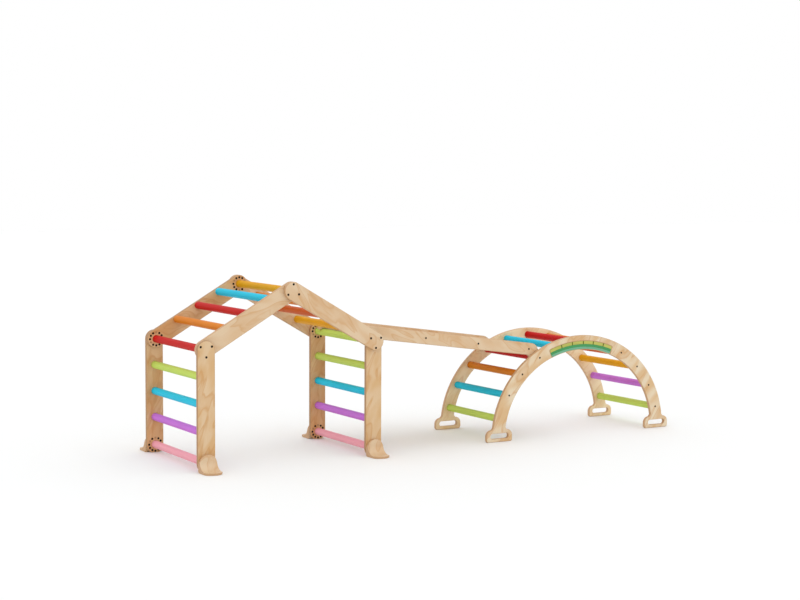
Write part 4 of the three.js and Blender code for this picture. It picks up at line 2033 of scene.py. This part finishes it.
@dataclass
class Slide:
    """The slide: a board between two rails that hook over the house's right axle.

    Attributes:
        axle: the axle's place in the set: X and Z.
        rest: the arch's rung that the lower end rests on.
        palette: the set's materials.
        face: distance of the rails' inner faces from the middle.
        rail_h: height of the rails.
        lift: how far their lower edge is over the line from the axle to the rung.
        seat_gap: clearance on the axle and on the rung.
        hook_wall: wood round the seat.
        hook_drop: how far the lobes reach below the axle's middle.
        hook_flank: how far the hook's flank leans out.
        lip_turn: how far the lip stops short of half a turn round the axle.
        notch_play: extra room in the notch before the rung.
        end_r: radius of the upper end.
        tail_round: length of the round lower end.
        tail_past: how far it goes past the rung.
        crook: radius of the edge's sharp corners.
        deck_t: thickness of the board.
        deck_start: how far it starts before the axle.
        deck_stop: how far it stops before the rung.
        deck_round: radius of its corners.
        deck_soft: radius of its edges.
        screw_ends: distance of the outermost screws from the axle and from the rung.
        screw_r: radius of a screw head.
        screws: number of screws in a rail.
        round_steps: segments in the lip, a lobe and the upper end.
        seat_steps: segments in the seat.
        tail_steps: segments in the lower end.
    """

    axle: Vector
    rest: Vector
    palette: Palette
    face: float = 202.0
    rail_h: float = 59.0
    lift: float = 6.6
    seat_gap: float = 1.0
    hook_wall: float = 14.0
    hook_drop: float = 10.0
    hook_flank: float = 14.0
    lip_turn: float = math.radians(45)
    notch_play: float = 12.0
    end_r: float = 20.0
    tail_round: float = 46.0
    tail_past: float = 6.0
    crook: float = 3.0
    deck_t: float = 15.0
    deck_start: float = 12.0
    deck_stop: float = 32.0
    deck_round: float = 2.0
    deck_soft: float = 3.0
    screw_ends: Point = (16.0, 57.0)
    screw_r: float = 4.8
    screws: int = 4
    round_steps: int = 12
    seat_steps: int = 24
    tail_steps: int = 20

    @property
    def span(self) -> float:
        """Distance from the axle to the rung."""
        return (self.rest - self.axle).length

    @property
    def tilt(self) -> float:
        """Slope of the slide."""
        return math.atan2(self.axle.y - self.rest.y, self.rest.x - self.axle.x)

    def level(self, x: float, z: float) -> Point:
        """A place given level with the floor from the rung, in the slide's own coordinates."""
        c, s = math.cos(self.tilt), math.sin(self.tilt)
        return (self.span + x * c - z * s, x * s + z * c)

    def hook(self, seat: float) -> Loop:
        """The seat on the axle, with a short lip on the house's side and a lobe on the other.

        Args:
            seat: radius of the seat.

        Returns:
            The edge, from the lip to the lobe's far side.
        """
        half = 2 * QUARTER
        lean = math.cos(self.lip_turn)
        lip_r = (seat + self.hook_wall - seat * lean) / (1 + lean)
        lip = (-(seat + lip_r) * lean, (seat + lip_r) * math.sin(self.lip_turn))
        return [
            *arc(lip, (lip_r, lip_r), half, 2 * half - self.lip_turn, self.round_steps),
            *arc((0, 0), (seat, seat), half - self.lip_turn, 0, self.seat_steps)[1:],
            *self.lobe(seat),
        ]

    def lobe(self, start: float) -> Loop:
        """The round lower end of the wood beside a seat, from where it starts."""
        r = self.hook_wall / 2
        return bend((start + r, r - self.hook_drop), r, 2, 4, self.round_steps)

    def outline(self) -> Loop:
        """A rail's edge: hook, straight, notch and the round lower end.

        Returns:
            The closed edge.
        """
        seat = STOCK.rung_d / 2 + self.seat_gap
        top = self.lift + self.rail_h
        upper = -seat - self.hook_wall
        flank = seat + self.hook_wall + self.hook_flank
        heel = self.span - self.notch_play
        tip = self.level(self.tail_past, seat)
        tail = (self.tail_round, top - tip[1])
        edge = [
            *self.hook(seat),
            (flank, self.lift),
            (heel - flank, self.lift),
            *self.lobe(heel - seat - self.hook_wall),
            self.level(-seat - self.notch_play, seat),
            *arc((tip[0] - self.tail_round, tip[1]), tail, 0, QUARTER, self.tail_steps),
            *bend((upper + self.end_r, top - self.end_r), self.end_r, 1, 2, self.round_steps),
        ]
        return eased(edge, self.crook)

    def build(self) -> None:
        """Builds the rails, the board and the screws."""
        tilted = Matrix.Rotation(self.tilt, 4, "Y")
        place = Matrix.Translation((self.axle.x, 0, self.axle.y)) @ tilted
        middle = self.lift + self.rail_h / 2
        first, last = self.screw_ends
        run = self.span - last - first
        screwed = [(first + run * i / (self.screws - 1), middle) for i in range(self.screws)]
        # The rails take the copy of the ply with painted light on its edges.
        look = self.palette.painted_light_edge_ply
        for where, side in SIDES:
            node = f"slide_rail_{where}"
            spot = place @ beside(side, self.face)
            rail = Board(self.outline(), STOCK.board, grain=0.0).shell()
            Piece(f"{node}_board", "slide", look, "birch_ply", (node,)).make(rail, spot)
            screws(node, "slide", self.screw_r, screwed, spot, self.palette.steel)
        self.deck(place, middle)

    def deck(self, place: Matrix, middle: float) -> None:
        """The board that the child slides on, its edges rounded over.

        Args:
            place: the slide's place in the set.
            middle: height of the board's middle in the rails.
        """
        half = self.face - STOCK.fit
        start, stop = -self.deck_start, self.span - self.deck_stop
        edge = eased([(start, -half), (stop, -half), (stop, half), (start, half)], self.deck_round)
        board = Board(edge, self.deck_t, self.deck_soft, grain=0.0).shell()
        spot = place @ Matrix.Translation((0, 0, middle - self.deck_t / 2))
        look = self.palette.deck
        Piece("slide_deck_board", "slide", look, "slide_board", ("slide_deck",)).make(board, spot)


# Studio


@dataclass
class Camera:
    """The photograph's camera, fitted to the set's edges.

    Attributes:
        yaw: how far it is turned from the Y axis to the left.
        pitch: how far it looks down.
        roll: how far it is turned about its line of sight.
        focal_px: focal length in pixels of a picture that is width_px wide.
        width_px: width of that picture.
        sensor: width of the film.
        place: where it stands, from the floor's middle line below the left hinge.
        far: end of what it sees, in metres.
    """

    yaw: float = math.radians(-30.541)
    pitch: float = math.radians(4.257)
    roll: float = math.radians(0.289)
    focal_px: float = 1619.702
    width_px: float = 800.0
    sensor: float = 36.0
    place: tuple[float, float, float] = (-2776.746, -6626.461, 1253.883)
    far: float = 60.0

    def build(self, left_hinge_x: float) -> None:
        """Creates the camera and makes it the scene's.

        Args:
            left_hinge_x: where the left hinge is along X.
        """
        data = bpy.data.cameras.new("photo_camera")
        data.sensor_width = self.sensor
        data.lens = self.focal_px * self.sensor / self.width_px
        data.clip_end = self.far
        made = bpy.data.objects.new("photo_camera", data)
        c, s = math.cos(self.yaw), math.sin(self.yaw)
        flat = math.cos(self.pitch)
        forward = Vector((-s * flat, c * flat, -math.sin(self.pitch)))
        level = Vector((c, s, 0))
        up = level.cross(forward)
        right = level * math.cos(self.roll) + up * math.sin(self.roll)
        above = up * math.cos(self.roll) - level * math.sin(self.roll)
        x, y, z = self.place
        spot = Vector((x + left_hinge_x, y, z)) / METRE
        facing = Matrix((right, above, -forward)).transposed().to_4x4()
        made.matrix_world = Matrix.Translation(spot) @ facing
        bpy.context.scene.collection.objects.link(made)
        bpy.context.scene.camera = made


@dataclass
class Studio:
    """A white sweep under soft daylight.

    Attributes:
        floor_colour: of the floor, so that it comes out white where nothing shades it.
        floor_rough: how matt it is.
        floor_size: of the floor, in metres.
        sky: strength of the light from all round.
        sun: strength of the wide lamp.
        sun_spread: how wide the lamp looks, which softens the shadows.
        sun_height: its height over the horizon.
        sun_heading: where it stands seen from above, from the X axis to the left.
    """

    floor_colour: str = "#F4F5F5"
    floor_rough: float = 0.9
    floor_size: float = 60.0
    sky: float = 0.96
    sun: float = 0.52
    sun_spread: float = math.radians(80)
    sun_height: float = math.radians(72)
    sun_heading: float = math.radians(250)

    def build(self) -> None:
        """Builds the floor, the world and the lamp."""
        scene = bpy.context.scene
        scene.view_settings.view_transform = "Standard"
        self.world(scene)
        self.floor(scene)
        lamp = bpy.data.lights.new("window", "SUN")
        lamp.energy = self.sun
        lamp.angle = self.sun_spread
        made = bpy.data.objects.new("window", lamp)
        flat = math.cos(self.sun_height)
        x, y = flat * math.cos(self.sun_heading), flat * math.sin(self.sun_heading)
        towards = Vector((x, y, math.sin(self.sun_height)))
        made.rotation_euler = towards.to_track_quat("Z", "Y").to_euler()
        scene.collection.objects.link(made)

    def world(self, scene: bpy.types.Scene) -> None:
        """A plain sky, full white where the camera sees it, straight or in something that shines.

        Args:
            scene: the scene that it lights.
        """
        w = Wiring(bpy.data.worlds.new("white_room"), "Background")
        seen = w.add("LightPath", out="Is Camera Ray")
        path = seen.node.outputs
        for ray in ("Is Glossy Ray", "Is Transmission Ray"):
            seen = w.add("Math", inputs={0: seen, 1: path[ray]}, operation="MAXIMUM")
        inputs = {"Value": seen, "To Min": self.sky, "To Max": 1.0}
        strength = w.add("MapRange", inputs=inputs)
        scene.world = w.finish(Color=linear("#FFFFFF"), Strength=strength)

    def floor(self, scene: bpy.types.Scene) -> None:
        """A wide floor of matt white paper, on which nothing shows but the shadows.

        Args:
            scene: the scene that it is put in.
        """
        half = self.floor_size / 2
        mesh = bpy.data.meshes.new("floor")
        edge = [(-half, -half, 0), (half, -half, 0), (half, half, 0), (-half, half, 0)]
        mesh.from_pydata(edge, [], [(0, 1, 2, 3)])
        paper = Wiring(bpy.data.materials.new("white_paper_floor"))
        colour = linear(self.floor_colour)
        mesh.materials.append(paper.finish(Base_Color=colour, Roughness=self.floor_rough))
        made = bpy.data.objects.new("floor", mesh)
        scene.collection.objects.link(made)
        made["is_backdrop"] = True


def axis_of(frame: dict, name: str) -> Vector:
    """X and Z of a joint's axis in millimetres."""
    joint = next(j for j in frame["joints"] if j["name"] == name)
    return Vector((joint["pos_m"][0], joint["pos_m"][2])) * METRE


def middle_of(node: str) -> Vector:
    """X and Z of a CAD node's middle in millimetres."""
    low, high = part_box(node)
    return Vector((low.x + high.x, low.z + high.z)) / 2 * METRE


def corners(box: Any) -> list:
    """A box of any nested vectors as plain lists of numbers."""
    return [corners(part) if hasattr(part, "__len__") else float(part) for part in box]


def main() -> None:
    """Builds the whole scene in the order of its parts."""
    logging.basicConfig(level=logging.INFO, format="%(message)s")
    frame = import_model()
    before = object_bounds()
    palette = Palette()
    left = axis_of(frame, "left_hinge")
    right = axis_of(frame, "right_hinge")
    House(left, axis_of(frame, "apex_hinge"), right, palette).build()
    LOG.info("house built")
    Arch(middle_of("arch_rail_front").x, palette).build()
    LOG.info("arch built")
    Slide(right, middle_of("arch_rung_4"), palette).build()
    LOG.info("slide built")
    Camera().build(left.x)
    Studio().build()
    LOG.info("studio built")
    {"before": corners(before), "after": corners(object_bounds())}


if __name__ == "__main__":
    main()
